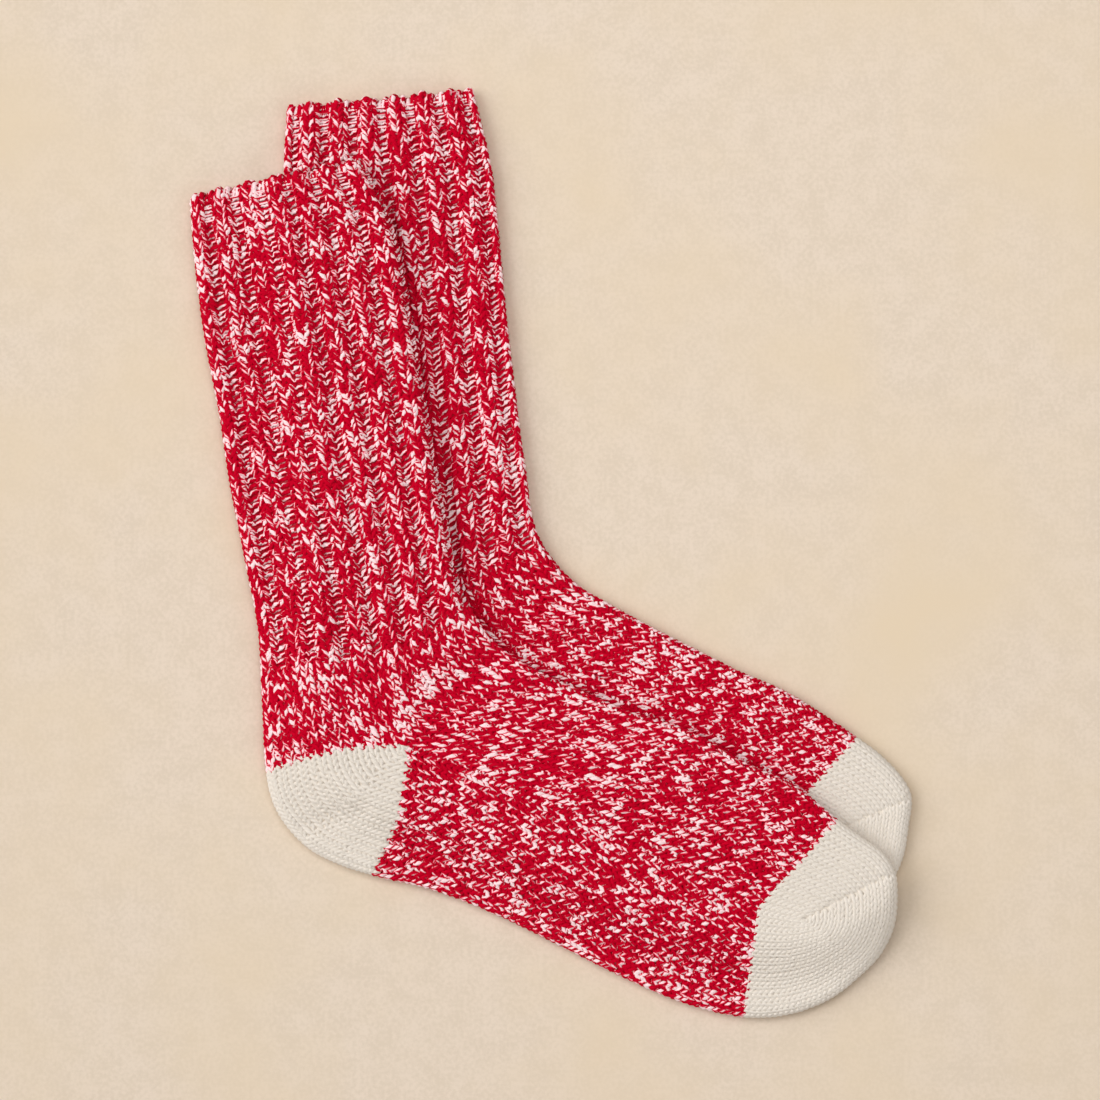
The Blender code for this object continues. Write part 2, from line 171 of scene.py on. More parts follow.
WALL = 2.2 * MM
HOLLOW = 1.8 * MM
SOCK_HEIGHT = 2 * WALL + HOLLOW
UPPER_ROUND = 5.0 * MM        # how far in the upper side takes to reach its full height
UNDER_ROUND = 2.6 * MM        # the same on the side that rests
INSET_REACH = 14.0 * MM       # how far in the hollow's points are crowded by the wall
ON_FOLD = 0.2 * MM            # a point this near the fold counts as lying on it
SAME_POINT = 0.002 * MM       # points nearer than this are one
SLOPE_STEP = 0.4 * MM         # points this far apart tell the slope
SEAM_GAP = 0.3 * MM
RIB_HEIGHT = 0.9 * MM
LAYER_GAP = 0.5 * MM
DRAPE_RUN = 20.0 * MM         # how far past the back sock's edge the front one comes down
DRAPE_LEAD = 1.5 * MM         # how far inside that edge it starts to
SPAN_STEPS = 12               # points to a span of a smooth line
POINTS_AT_ONCE = 4000
HEEL_TOP_BULGE = 3.0 * MM     # how far the heel's seams bow out of the straight
HEEL_SOLE_BULGE = 3.6 * MM

# The stations are in millimetres, the same as the solids', and rows run from the cuff down.
FRONT_SOCK = {
    # back edge x, y, front edge x, y
    "leg": (
        (-130.0, 128.0, -66.5, 141.0), (-128.0, 102.5, -55.0, 115.5),
        (-124.5, 76.5, -50.0, 91.5), (-119.5, 50.5, -46.0, 68.0),
        (-115.5, 24.5, -42.0, 44.0), (-110.5, -1.0, -37.0, 15.5),
        (-105.5, -27.0, -30.0, -15.0), (-104.0, -53.0, -19.0, -32.0),
        (-102.5, -79.0, -5.5, -41.0),
    ),
    "heel": ((-100.0, -90.0), (-95.0, -98.5), (-87.0, -106.5), (-76.5, -112.0)),
    "gore": (-51.5, -69.0),
    # sole edge x, y, instep edge x, y
    "foot": (
        (-64.5, -116.0, -5.5, -41.0), (-42.0, -121.5, 14.0, -50.0),
        (-19.0, -130.5, 32.0, -57.5), (3.5, -141.5, 50.0, -63.0),
        (25.5, -152.5, 69.0, -74.0), (48.0, -162.0, 88.0, -83.0),
        (69.5, -167.0, 103.0, -95.0),
    ),
    "toe_corner": (74.5, -127.0),
    "toe": (
        (86.0, -166.0), (100.5, -160.5), (110.5, -153.0), (119.0, -144.0), (123.5, -134.0),
        (124.5, -122.0), (123.5, -113.5), (119.5, -107.0), (112.0, -101.5),
    ),
    "tip": 3,
    # a crease across the ankle and a dent in the heel: from, to, half width, depth
    "troughs": (
        ((-14.0, -32.0), (-43.0, -55.0), 7.5, 1.3), ((-88.0, -98.5), (-68.0, -92.5), 4.0, 0.9),
    ),
}

BACK_SOCK = {
    "leg": (
        (-95.0, 160.5, -27.5, 166.5), (-96.0, 135.0, -21.0, 139.5),
        (-93.0, 108.0, -18.0, 113.0), (-89.0, 81.5, -15.5, 87.0),
        (-86.0, 54.5, -12.5, 60.5), (-83.5, 27.5, -9.0, 34.0),
        (-83.0, 0.0, -4.0, 6.5), (-84.0, -27.0, 7.5, -9.0),
        (-86.0, -54.0, 21.5, -18.0),
    ),
    "heel": ((-84.0, -65.5), (-79.5, -75.5), (-71.5, -83.0), (-60.5, -87.5)),
    "gore": (-35.0, -44.5),
    "foot": (
        (-49.5, -90.0, 21.5, -18.0), (-29.0, -97.0, 40.0, -28.0),
        (-7.5, -106.5, 54.0, -35.0), (14.0, -117.0, 69.0, -42.5),
        (36.0, -127.0, 83.0, -48.5), (56.5, -134.0, 96.5, -56.5),
        (77.5, -137.5, 110.5, -66.0),
    ),
    "toe_corner": (82.0, -97.5),
    "toe": (
        (92.5, -137.0), (106.5, -132.5), (115.5, -126.0), (122.0, -119.5), (127.0, -109.0),
        (129.0, -97.5), (130.0, -87.5), (127.0, -81.0), (118.5, -72.0),
    ),
    "tip": 4,
    "troughs": (((24.0, -46.0), (46.0, -57.0), 6.0, 0.9),),
}


def smooth_line(stations):
    """Points along the smooth curve through the stations, SPAN_STEPS to a span."""
    points = np.array(stations, dtype=float)
    chords = np.linalg.norm(np.diff(points, axis=0), axis=1)
    knots = np.concatenate([[0.0], np.cumsum(np.sqrt(chords))])
    slopes = np.gradient(points, knots, axis=0)
    t = np.arange(SPAN_STEPS)[:, None] / SPAN_STEPS
    spans = []
    for k, width in enumerate(np.diff(knots)):
        start, end = points[k], points[k + 1]
        leave, arrive = slopes[k] * width, slopes[k + 1] * width
        spans.append(
            (2 * t**3 - 3 * t**2 + 1) * start + (t**3 - 2 * t**2 + t) * leave
            + (3 * t**2 - 2 * t**3) * end + (t**3 - t**2) * arrive
        )
    return np.vstack(spans + [points[-1:]])


def outline_stations(sock):
    """The stations all round a sock, from the cuff's back corner to its front one."""
    leg, foot = np.array(sock["leg"]), np.array(sock["foot"])
    return np.vstack([
        leg[:, :2], sock["heel"], foot[:, :2], sock["toe"], foot[::-1, 2:], leg[-2::-1, 2:],
    ])


def along(points):
    """A function from a share of a line's length to the point there."""
    lengths = np.linalg.norm(np.diff(points, axis=0), axis=1)
    shares = np.concatenate([[0.0], np.cumsum(lengths)])
    shares = shares / shares[-1]
    return lambda share: np.stack(
        [np.interp(share, shares, points[:, axis]) for axis in (0, 1)], axis=-1
    )


def bowed(start, end, bulge=0.0):
    """A function for a line from start to end that bows to its left by bulge."""
    run = end - start
    side = np.array([-run[1], run[0]]) / np.linalg.norm(run)

    def point_at(share):
        share = np.asarray(share, dtype=float)[..., None]
        return start + run * share + side * bulge * 4 * share * (1 - share)

    return point_at


def gathered(point):
    """A function for an edge that has drawn together into one point."""
    return lambda share: np.broadcast_to(point, (*np.shape(share), 2))


def joined(first, second):
    """Two lines as one function, meeting at a share of one half."""
    def point_at(share):
        share = np.asarray(share, dtype=float)
        before = first(np.clip(2 * share, 0, 1))
        after = second(np.clip(2 * share - 1, 0, 1))
        return np.where((share < 0.5)[..., None], before, after)

    return point_at


class Lie:
    """How one sock lies: its plan outline, what is under it, and its heights."""

    def __init__(self, sock, centre, under=None):
        self.outline = smooth_line((outline_stations(sock) - centre) * MM)
        self.gore = (np.array(sock["gore"]) - centre) * MM
        self.toe_corner = (np.array(sock["toe_corner"]) - centre) * MM
        self.troughs = [
            ((np.array(start) - centre) * MM, (np.array(end) - centre) * MM, half * MM, depth * MM)
            for start, end, half, depth in sock["troughs"]
        ]
        self.under = under
        self.heel_top = len(sock["leg"]) - 1
        self.heel_end = self.heel_top + len(sock["heel"]) + 1
        self.toe_sole = self.heel_end + len(sock["foot"]) - 1
        self.tip = self.toe_sole + sock["tip"] + 1
        self.toe_instep = self.toe_sole + len(sock["toe"]) + 1
        self.ankle = self.toe_instep + len(sock["foot"]) - 1
        self.cuff_front = len(self.outline) // SPAN_STEPS

    def edge(self, start, end):
        """The outline between two stations, either way round; a station may be a fraction."""
        low, high = round(min(start, end) * SPAN_STEPS), round(max(start, end) * SPAN_STEPS)
        points = self.outline[low:high + 1]
        return along(points if start < end else points[::-1])

    def station(self, index):
        return self.outline[round(index * SPAN_STEPS)]

    def depth_inside(self, points):
        """Distance from the nearest fold, and the direction away from it."""
        start, run = self.outline[:-1], np.diff(self.outline, axis=0)
        square = np.stack([-run[:, 1], run[:, 0]], axis=-1) / np.linalg.norm(run, axis=-1)[:, None]
        flat = points.reshape(-1, 2)
        depth, inward = np.empty(len(flat)), np.empty((len(flat), 2))
        for low in range(0, len(flat), POINTS_AT_ONCE):
            part = slice(low, low + POINTS_AT_ONCE)
            offset = flat[part, None] - start
            share = np.clip((offset * run).sum(-1) / (run**2).sum(-1), 0, 1)
            away = offset - share[..., None] * run
            distance = np.linalg.norm(away, axis=-1)
            nearest = distance.argmin(-1)
            rows = np.arange(len(nearest))
            away, distance = away[rows, nearest], distance[rows, nearest]
            straight = away / np.maximum(distance, ON_FOLD)[:, None]
            inward[part] = np.where((distance < ON_FOLD)[:, None], square[nearest], straight)
            depth[part] = distance
        return depth.reshape(points.shape[:-1]), inward.reshape(points.shape)

    def contains(self, points):
        """True for points inside the outline, with the cuff's line closing it."""
        start, end = self.outline, np.roll(self.outline, -1, axis=0)
        x, y = points[..., 0, None], points[..., 1, None]
        spans = (start[:, 1] > y) != (end[:, 1] > y)
        rise = np.where(end[:, 1] == start[:, 1], 1.0, end[:, 1] - start[:, 1])
        crossing = start[:, 0] + (y - start[:, 1]) / rise * (end[:, 0] - start[:, 0])
        return (spans & (x < crossing)).sum(-1) % 2 == 1

    def inside(self, points):
        """Distance from the outline, negative outside it."""
        distance, _ = self.depth_inside(points)
        return np.where(self.contains(points), distance, -distance)

    def level(self, points):
        """Height of what the sock lies on: the board, or the other sock and the slope off it."""
        if self.under is None:
            return np.zeros(points.shape[:-1])
        share = (self.under.inside(points) + DRAPE_RUN) / (DRAPE_RUN + DRAPE_LEAD)
        share = np.clip(share, 0, 1)
        return (SOCK_HEIGHT + RIB_HEIGHT + LAYER_GAP) * share**2 * (3 - 2 * share)

    def sunk(self, points):
        """How far the creases of the upper side go down."""
        total = np.zeros(points.shape[:-1])
        for start, end, half_width, depth in self.troughs:
            run = end - start
            share = np.clip(((points - start) * run).sum(-1) / (run**2).sum(), 0, 1)
            distance = np.linalg.norm(points - start - share[..., None] * run, axis=-1)
            total += depth * np.exp(-((distance / half_width) ** 2))
        return total

    def outer(self, plan, upper, raised=0.0):
        """Points of the cloth's outer face over the plan, and the directions out of it.

        upper is true where the upper side is meant. The level and the creases are looked up
        at points a little apart for their slope.
        """
        depth, inward = self.depth_inside(plan)
        reach = np.where(upper, UPPER_ROUND, UNDER_ROUND)
        cosine = 1 - np.clip(depth / reach, 0, 1)
        sine = np.sqrt(1 - cosine**2)

        def lie(points):
            return self.level(points) - np.where(upper, self.sunk(points) * sine, 0.0)

        height, half = lie(plan), SOCK_HEIGHT / 2
        slope = np.stack([
            (lie(plan + np.array([SLOPE_STEP, 0])) - height) / SLOPE_STEP,
            (lie(plan + np.array([0, SLOPE_STEP])) - height) / SLOPE_STEP,
        ], axis=-1)
        side = np.where(upper, 1.0, -1.0)
        z = height + half + side * half * sine + raised
        out = np.concatenate([
            -side[..., None] * slope * sine[..., None]
            - inward * (half / reach * cosine)[..., None],
            (side * sine)[..., None],
        ], axis=-1)
        out /= np.linalg.norm(out, axis=-1, keepdims=True)
        return np.concatenate([plan, z[..., None]], axis=-1), out

    def inner(self, plan, upper):
        """Points of the cloth's inner face, round the thin hollow."""
        depth, inward = self.depth_inside(plan)
        inner_depth = np.where(
            depth < INSET_REACH, WALL + depth * (INSET_REACH - WALL) / INSET_REACH, depth
        )
        plan = plan + inward * (inner_depth - depth)[..., None]
        opened = 1 - np.clip((inner_depth - WALL) / HOLLOW, 0, 1)
        half = HOLLOW / 2 * np.sqrt(1 - opened**2)
        sunk = self.sunk(plan) * np.clip((inner_depth - WALL) / UPPER_ROUND, 0, 1)
        z = self.level(plan) + SOCK_HEIGHT / 2
        z += np.where(upper, half - np.minimum(sunk, half), -half)
        return np.concatenate([plan, z[..., None]], axis=-1)


outlines = np.vstack([smooth_line(outline_stations(sock)) for sock in (FRONT_SOCK, BACK_SOCK)])
pair_centre = (outlines.min(axis=0) + outlines.max(axis=0)) / 2
back_lie = Lie(BACK_SOCK, pair_centre)
front_lie = Lie(FRONT_SOCK, pair_centre, back_lie)
# each sock's name, its node's name, how it lies, and how the other one does
PAIR = (("front", "upper", front_lie, back_lie), ("back", "lower", back_lie, front_lie))


def patch(near, far, left, right):
    """A function for the plan area that four edge curves bound: u goes across, v along."""
    first, last = np.array(0.0), np.array(1.0)
    near_left, near_right, far_left, far_right = near(first), near(last), far(first), far(last)

    def plan_at(u, v):
        u, v = np.broadcast_arrays(u, v)
        across, down = u[..., None], v[..., None]
        corners = (
            (1 - down) * ((1 - across) * near_left + across * near_right)
            + down * ((1 - across) * far_left + across * far_right)
        )
        return (
            (1 - down) * near(u) + down * far(u)
            + (1 - across) * left(v) + across * right(v) - corners
        )

    return plan_at


# The knitting: where each stitch lies.
# Fifty-six wales go round the tube, twenty-eight on each face. Round a fold the cloth is
# longer than its plan, so wales near a fold look narrow from above, as they do on a real sock.

FACE_WALES = 28
HALF_FACE = FACE_WALES // 2
ALL_WALES = 2 * FACE_WALES
RIB_WALES = 4                 # two plain and two purl
GRID_PER_WALE = 4
FOLD_STEPS, LINE_POINTS = 40, 24
NARROWEST = 0.5 * MM          # a row of the plan is never taken to be narrower


def round_a_fold(reach):
    """The way round a quarter of a fold from its edge, and how far in from it that leads."""
    turn = np.linspace(0, np.pi / 2, FOLD_STEPS)
    inwards, height = reach * (1 - np.cos(turn)), SOCK_HEIGHT / 2 * np.sin(turn)
    steps = np.hypot(np.diff(inwards), np.diff(height))
    return np.concatenate([[0.0], np.cumsum(steps)]), inwards


UPPER_FOLD, UNDER_FOLD = round_a_fold(UPPER_ROUND), round_a_fold(UNDER_ROUND)


def across_plan(share, width, fold, first, last):
    """Share of the plan's width at a share of the cloth's, with a fold at first, last or both."""
    way_round, inwards = fold
    extra = way_round[-1] - inwards[-1]
    cloth = width + extra * (first + last)
    way = share * cloth
    place = way - extra * first
    if first:
        place = np.where(way < way_round[-1], np.interp(way, way_round, inwards), place)
    if last:
        back = cloth - way
        place = np.where(
            back < way_round[-1], width - np.interp(back, way_round, inwards), place
        )
    return place / width


class Knit:
    """An area of knitting: a grid of points and outward directions by wale and course.

    wales are the first and last wale of the area, numbered round the tube from the back
    fold; a face's wales may be spread unevenly. count gives how many courses each wale has.
    """

    def __init__(self, lie, plan_at, wales, count, rows, spread=None, raised=None, flipped=False,
                 lead=0.0):
        self.first, self.last = wales
        self.count, self.flipped, self.lead = count, flipped, lead
        self.round = wales[1] - wales[0] == ALL_WALES
        columns = round((wales[1] - wales[0]) * GRID_PER_WALE)
        wale = wales[0] + np.arange(columns + (0 if self.round else 1)) / GRID_PER_WALE
        down = np.linspace(0, 1, rows)
        first_fold, last_fold = self.first <= 0, self.last > HALF_FACE
        low = 0 if first_fold else HALF_FACE
        high = FACE_WALES if last_fold else HALF_FACE
        turned = np.mod(wale, ALL_WALES)
        upper = turned <= FACE_WALES
        face_wale = np.where(upper, turned, ALL_WALES - turned)
        plan = np.empty((rows, len(wale), 2))
        for k, v in enumerate(down):
            line = plan_at(np.linspace(0, 1, LINE_POINTS), np.full(LINE_POINTS, v))
            width = max(np.linalg.norm(np.diff(line, axis=0), axis=1).sum(), NARROWEST)
            placed = face_wale
            if spread is not None:
                placed = spread(turned, v)
                placed = np.where(upper, placed, ALL_WALES - placed)
            share = (placed - low) / (high - low)
            for side, fold in ((True, UPPER_FOLD), (False, UNDER_FOLD)):
                on = upper == side
                u = across_plan(share[on], width, fold, first_fold, last_fold)
                plan[k, on] = plan_at(u, np.full(u.shape, v))
        self.plan, self.upper = plan, np.broadcast_to(upper, plan.shape[:2])
        self.raised = np.zeros(plan.shape[:2])
        if raised is not None:
            self.raised = raised(turned, down) * upper
        self.points, self.out = lie.outer(plan, self.upper, self.raised)

    def share(self, wale, course):
        """Share of the area's length at a course, counted from the end where the wale starts."""
        share = (course + self.lead) / np.maximum(self.count(wale) + self.lead, 0.5)
        return 1 - share if self.flipped else share

    def at(self, wale, down):
        """Points and outward directions at wales and shares of the length, past it as well."""
        rows, columns = self.points.shape[:2]
        row, column = down * (rows - 1), (wale - self.first) * GRID_PER_WALE
        top = np.clip(np.floor(row), 0, rows - 2).astype(int)
        if self.round:
            left = np.floor(column).astype(int)
        else:
            left = np.clip(np.floor(column), 0, columns - 2).astype(int)
        below, beside = (row - top)[..., None], (column - left)[..., None]
        here, there = left % columns, (left + 1) % columns
        found = []
        for grid in (self.points, self.out):
            upper_edge = (1 - beside) * grid[top, here] + beside * grid[top, there]
            lower_edge = (1 - beside) * grid[top + 1, here] + beside * grid[top + 1, there]
            found.append((1 - below) * upper_edge + below * lower_edge)
        points, out = found
        return points, out / np.maximum(np.linalg.norm(out, axis=-1, keepdims=True), 1e-9)


# The yarn of the stitches.
# Each course is one strand that loops through its neighbours, two plies twisted together.
# A knit stitch shows its two legs and a purl stitch its heads; the strand is one tube.

YARN_SIDES = 5
YARN_FLAT = 0.80              # a strand's thickness over its width
KNIT_RINGS, PURL_RINGS = 8, 4

# radius of the strand, depth that a loop weaves in and out, swing of its legs aside, height
# in courses, how uneven the stitches are, and how much of the white ply shows
LEG_GAUGE = {
    "radius": 0.84 * MM, "depth": 0.42 * MM, "swing": 0.38, "tall": 0.80,
    "loose": 1.0, "pale": 0.80,
}
FOOT_GAUGE = {**LEG_GAUGE, "swing": 0.40, "tall": 0.73, "pale": 0.73}
CREAM_GAUGE = {
    "radius": 0.96 * MM, "depth": 0.26 * MM, "swing": 0.30, "tall": 0.80,
    "loose": 0.6, "pale": 0.0,
}
PURL_SWING, PURL_TALL, PURL_SLANT = 0.10, 0.06, 0.08
PURL_DEPTH, PURL_SINK = 0.25 * MM, 0.08 * MM
LOOP_SHINGLE = 0.12 * MM      # how far the head of a loop lies over its foot
UNEVEN_ACROSS, UNEVEN_DOWN = 0.05, 0.10
SHOWN_FROM = 0.35             # a wale has a stitch at a course if it reaches this far past it

# how the plies twist, in turns
LEG_LENGTH = 4.3 * MM
PLY_PITCH = 9.5 * MM
WHITE_UP = 0.25               # the turn at which the white ply is on top
PLY_DRIFT, PURL_TWIST = 0.38, 0.27

# how much of the strand is white: by stitch and by leg, then least, most and in between
PALE_BY_STITCH, PALE_BY_LEG = 0.55, 0.75
PALE_FROM, PALE_RANGE, PALE_POWER = -0.8, 2.6, 1.6
LEAST_WHITE = 0.15
KNIT_WHITE, PURL_WHITE, PURL_WHITER = (0.12, 0.90), (0.35, 0.70), 0.08

# the first courses of a gutter are a ladder of thin straight bars
LADDER_COURSES = 4
LADDER_FLAT, LADDER_LIFT, LADDER_STEADY, LADDER_WHITER = 0.8, 0.6, 0.7, 0.12
PURL_THICKER, LADDER_THINNER = 0.12, 0.40
RUNG_POINTS, RUNG_HALF, RUNG_DOWN = 6, 0.9, 1.05
RUNG_WHITE, RUNG_SCALE = 0.26, 0.62

# the cord round the rim of the cuff
COIL_STEPS, COIL_START, COIL_UNEVEN = 12, 0.2, 0.12
COIL_SCALE, COIL_THICKER_ON_RIB = 1.2, 0.12
PICTURE_MARGIN = 0.04         # round each stitch's square in the baked picture


def drift(seed, rows, columns, down, across):
    """A smooth field of random values, with a spread of one, that wanders over the knitting."""
    field = np.random.default_rng(seed).standard_normal((rows, columns))
    across_waves = np.fft.fftfreq(columns)[None, :] * across
    down_waves = np.fft.fftfreq(rows)[:, None] * down
    damped = np.fft.fft2(field) * np.exp(-(np.pi**2) * (across_waves**2 + down_waves**2))
    field = np.real(np.fft.ifft2(damped))
    return field / field.std()


class Stitches:
    """Collects the strands of one area and makes them into one mesh."""

    def __init__(self, knit, courses, seed, gauge, purl=None, gutter=0, coarse=None, hidden=None):
        self.knit, self.purl, self.gutter = knit, purl, gutter
        self.coarse, self.hidden = coarse, hidden
        self.radius, self.flat = gauge["radius"], gauge["radius"] * YARN_FLAT
        self.depth, self.swing, self.tall = gauge["depth"], gauge["swing"], gauge["tall"]
        self.loose, self.pale = gauge["loose"], gauge["pale"]
        rows = courses + 2
        self.nudge_a = UNEVEN_ACROSS * self.loose * drift(seed, rows, ALL_WALES, 1.5, 0.7)
        self.nudge_c = UNEVEN_DOWN * self.loose * drift(seed + 1, rows, ALL_WALES, 0.8, 0.8)
        self.share = drift(seed + 2, rows, ALL_WALES, 0.75, 0.85)
        self.leg_share, self.turn, self.leg_nudge = (
            np.stack([drift(seed + 3 + 2 * k + leg, rows, ALL_WALES, *wander) for leg in (0, 1)])
            for k, wander in enumerate(((0.45, 0.4), (0.6, 0.45), (0.6, 0.6)))
        )
        self.forget()

    def forget(self):
        self.points, self.quads, self.caps = [], [], []
        self.twists, self.squares, self.whites = [], [], []
        self.total, self.square_total = 0, 0

    def is_purl(self, wale, course):
        return self.purl is not None and self.purl(wale % ALL_WALES, course)

    def tube(self, centre, out, turn, white, square, place, closed, scale=1.0, bars=1.0):
        """One strand of yarn along a centre line, thicker or thinner by scale.

        turn is how far round the plies are twisted at each ring. square numbers the stitch
        that a ring belongs to and place is how far along the stitch it is. bars is 2 where
        the strand stands for two that lie side by side.
        """
        ahead = np.roll(centre, -1, axis=0) - np.roll(centre, 1, axis=0)
        if not closed:
            ahead[0], ahead[-1] = centre[1] - centre[0], centre[-1] - centre[-2]
        ahead /= np.linalg.norm(ahead, axis=1, keepdims=True)
        beside = np.cross(ahead, out)
        beside /= np.maximum(np.linalg.norm(beside, axis=1, keepdims=True), 1e-9)
        over = np.cross(beside, ahead)
        # the sides are numbered from one of the two lowest, so the third is on top
        angle = 2 * np.pi * (np.arange(YARN_SIDES) - 2) / YARN_SIDES + np.pi / 2
        scale = np.broadcast_to(scale, len(centre))[:, None, None]
        ring = centre[:, None] + scale * (
            self.radius * np.cos(angle)[None, :, None] * beside[:, None]
            + self.flat * np.sin(angle)[None, :, None] * over[:, None]
        )
        rings = len(centre)
        k, m = np.meshgrid(
            np.arange(rings if closed else rings - 1), np.arange(YARN_SIDES), indexing="ij"
        )
        k, m = k.ravel(), m.ravel()
        k1, m1 = (k + 1) % rings, (m + 1) % YARN_SIDES
        self.quads.append(self.total + np.stack([
            k * YARN_SIDES + m, k1 * YARN_SIDES + m, k1 * YARN_SIDES + m1, k * YARN_SIDES + m1,
        ], axis=1))
        if not closed:
            first = self.total + np.arange(YARN_SIDES)
            self.caps += [first, first[::-1] + (rings - 1) * YARN_SIDES]
        step = np.linalg.norm(np.roll(centre, -1, axis=0) - centre, axis=1)
        length = np.cumsum(step) - step
        bars = np.broadcast_to(bars, rings)
        # the third side is on top, where a turn of a quarter shows the white ply
        low, high = (m - 2) / YARN_SIDES, (m - 1) / YARN_SIDES
        self.twists.append(np.stack([
            WHITE_UP + np.stack([
                turn[k] + bars[k] * low, turn[k1] + bars[k1] * low,
                turn[k1] + bars[k1] * high, turn[k] + bars[k] * high,
            ], axis=1),
            np.stack([length[k], length[k] + step[k], length[k] + step[k], length[k]], axis=1)
            / PLY_PITCH,
        ], axis=-1))
        until = np.where(square[k1] == square[k], place[k1], 1.0)
        low, high = m / YARN_SIDES, (m + 1) / YARN_SIDES
        self.squares.append((
            self.square_total + square[k],
            np.stack([
                np.stack([place[k], until, until, place[k]], axis=1),
                np.stack([low, low, high, high], axis=1),
            ], axis=-1),
        ))
        self.points.append(ring.reshape(-1, 3))
        self.whites.append(np.repeat(white, YARN_SIDES))
        self.total += rings * YARN_SIDES
        self.square_total += int(square.max()) + 1

    def strand(self, course, first, last, closed):
        """One run of stitches along a course, from wale first to wale last."""
        t, wale = [], []
        for w in range(first, last):
            purl = self.is_purl(w, course)
            few = purl or (self.coarse is not None and self.coarse(w))
            rings = PURL_RINGS if few else KNIT_RINGS
            start = np.pi / 4 if few and not purl else 0.0
            t.append(start + np.arange(rings) / rings * 2 * np.pi)
            wale.append(np.full(rings, w))
        t, wale = np.concatenate(t), np.concatenate(wale)
        if not closed:
            t, wale = np.append(t, 2 * np.pi), np.append(wale, last - 1)
        nearer = np.where(t < np.pi, wale - 1, wale + 1)
        purl, beside = (
            np.array([self.is_purl(w, course) for w in wales]) for wales in (wale, nearer)
        )
        # each stitch meets its neighbour half way between its own form and the neighbour's
        join = 0.5 * np.maximum(np.cos(t), 0) ** 2
        purled = purl + (beside * 1.0 - purl) * join
        tall = self.tall + (PURL_TALL - self.tall) * purled
        ladder = purled * (course < LADDER_COURSES)
        tall = tall * (1 - LADDER_FLAT * ladder)
        depth = np.where(purled > 0.5, PURL_DEPTH, self.depth) * (2 * purled - 1)
        around = wale % ALL_WALES
        leg = (t >= np.pi).astype(int)
        a = (
            wale + t / (2 * np.pi) + np.where(purl, PURL_SWING, self.swing) * np.sin(2 * t)
            + self.nudge_a[course, around]
            + UNEVEN_ACROSS * self.loose * self.leg_nudge[leg, course, around] * np.sin(t) ** 2
        )
        gutter = self.gutter + RIB_WALES * np.round((wale + 0.5 - self.gutter) / RIB_WALES)
        from_gutter = wale + t / (2 * np.pi) - gutter
        c = course + 0.5 - tall * np.cos(t) + self.nudge_c[course, around]
        c -= np.where(purl, PURL_SLANT * np.sin(np.pi * from_gutter), 0.0)
        down = self.knit.share(a, c)
        points, out = self.knit.at(a, down)
        # the highest yarn just reaches the form of the solid
        lift = depth * np.cos(2 * t) + LOOP_SHINGLE * np.cos(t) - self.depth - self.flat
        lift -= PURL_SINK * (purled - LADDER_LIFT * ladder)
        centre = points + out * lift[:, None]

        from_leg = (t - np.where(leg == 1, 1.5, 0.5) * np.pi) / np.pi * LEG_LENGTH
        phase = self.turn[leg, course, around]
        turn = WHITE_UP - from_leg / PLY_PITCH + PLY_DRIFT * phase
        phase_before = self.turn[1 - leg, course, (around - 1 + leg) % ALL_WALES]
        between = np.isclose(np.cos(t) ** 2, 1)
        turn = np.where(between, WHITE_UP + PLY_DRIFT * 0.5 * (phase + phase_before), turn)
        drifted = self.turn[0, course, (gutter % ALL_WALES).astype(int)]
        steady = 1 - LADDER_STEADY * ladder
        across = WHITE_UP - PURL_TWIST * from_gutter + PLY_DRIFT * drifted * steady
        turn = np.where(purl, across, turn)
        pale = (
            PALE_BY_STITCH * self.share[course, around]
            + PALE_BY_LEG * self.leg_share[leg, course, around]
        )
        white = np.clip((pale - PALE_FROM) / PALE_RANGE, 0, 1) ** PALE_POWER
        white = LEAST_WHITE + self.pale * white
        # the white ply comes up and goes down again within a leg
        middle = np.cos(0.45 * np.pi * np.clip(from_gutter, -1, 1)) ** 2
        white *= np.where(
            purl, PURL_WHITE[0] + PURL_WHITE[1] * middle,
            KNIT_WHITE[0] + KNIT_WHITE[1] * np.sin(t) ** 4,
        )
        white += np.where(purl, PURL_WHITER, 0.0) + LADDER_WHITER * ladder
        scale = 1 + PURL_THICKER * purled - LADDER_THINNER * ladder
        bars = 1 + purled * (1 - ladder)
        self.tube(centre, out, turn, white, wale - first, t / (2 * np.pi), closed, scale, bars)

    def bind(self, down, tall, thick, depth, wave):
        """Yarn coiled round the rim of the cuff, one turn to a wale, higher on the ribs."""
        a = np.arange(ALL_WALES * COIL_STEPS) / COIL_STEPS
        points, out = self.knit.at(a, down)
        further, _ = self.knit.at(a, down + 0.01)
        up = points - further
        up /= np.linalg.norm(up, axis=1, keepdims=True)
        angle = 2 * np.pi * (a + COIL_START)
        spoke = np.cos(angle)[:, None] * out + np.sin(angle)[:, None] * up
        reach = np.cos(angle)[:, None] * thick * out + np.sin(angle)[:, None] * tall * up
        wale = np.floor(a).astype(int)
        uneven = (1 + COIL_UNEVEN * np.clip(self.leg_nudge[0, 0, wale], -2, 2))[:, None]
        on_rib = -np.cos(np.pi / 2 * (a - self.gutter))[:, None]
        centre = points - depth * out + uneven * reach + wave * on_rib * up
        turn = WHITE_UP + 0.3 * (a - wale) + PLY_DRIFT * self.turn[0, 0, wale]
        white = 0.14 + 0.66 * np.clip((self.leg_share[1, 1, wale] + 0.4) / 1.8, 0, 1)
        scale = COIL_SCALE + COIL_THICKER_ON_RIB * on_rib[:, 0]
        self.tube(centre, spoke, turn, white, wale, a - wale, True, scale)

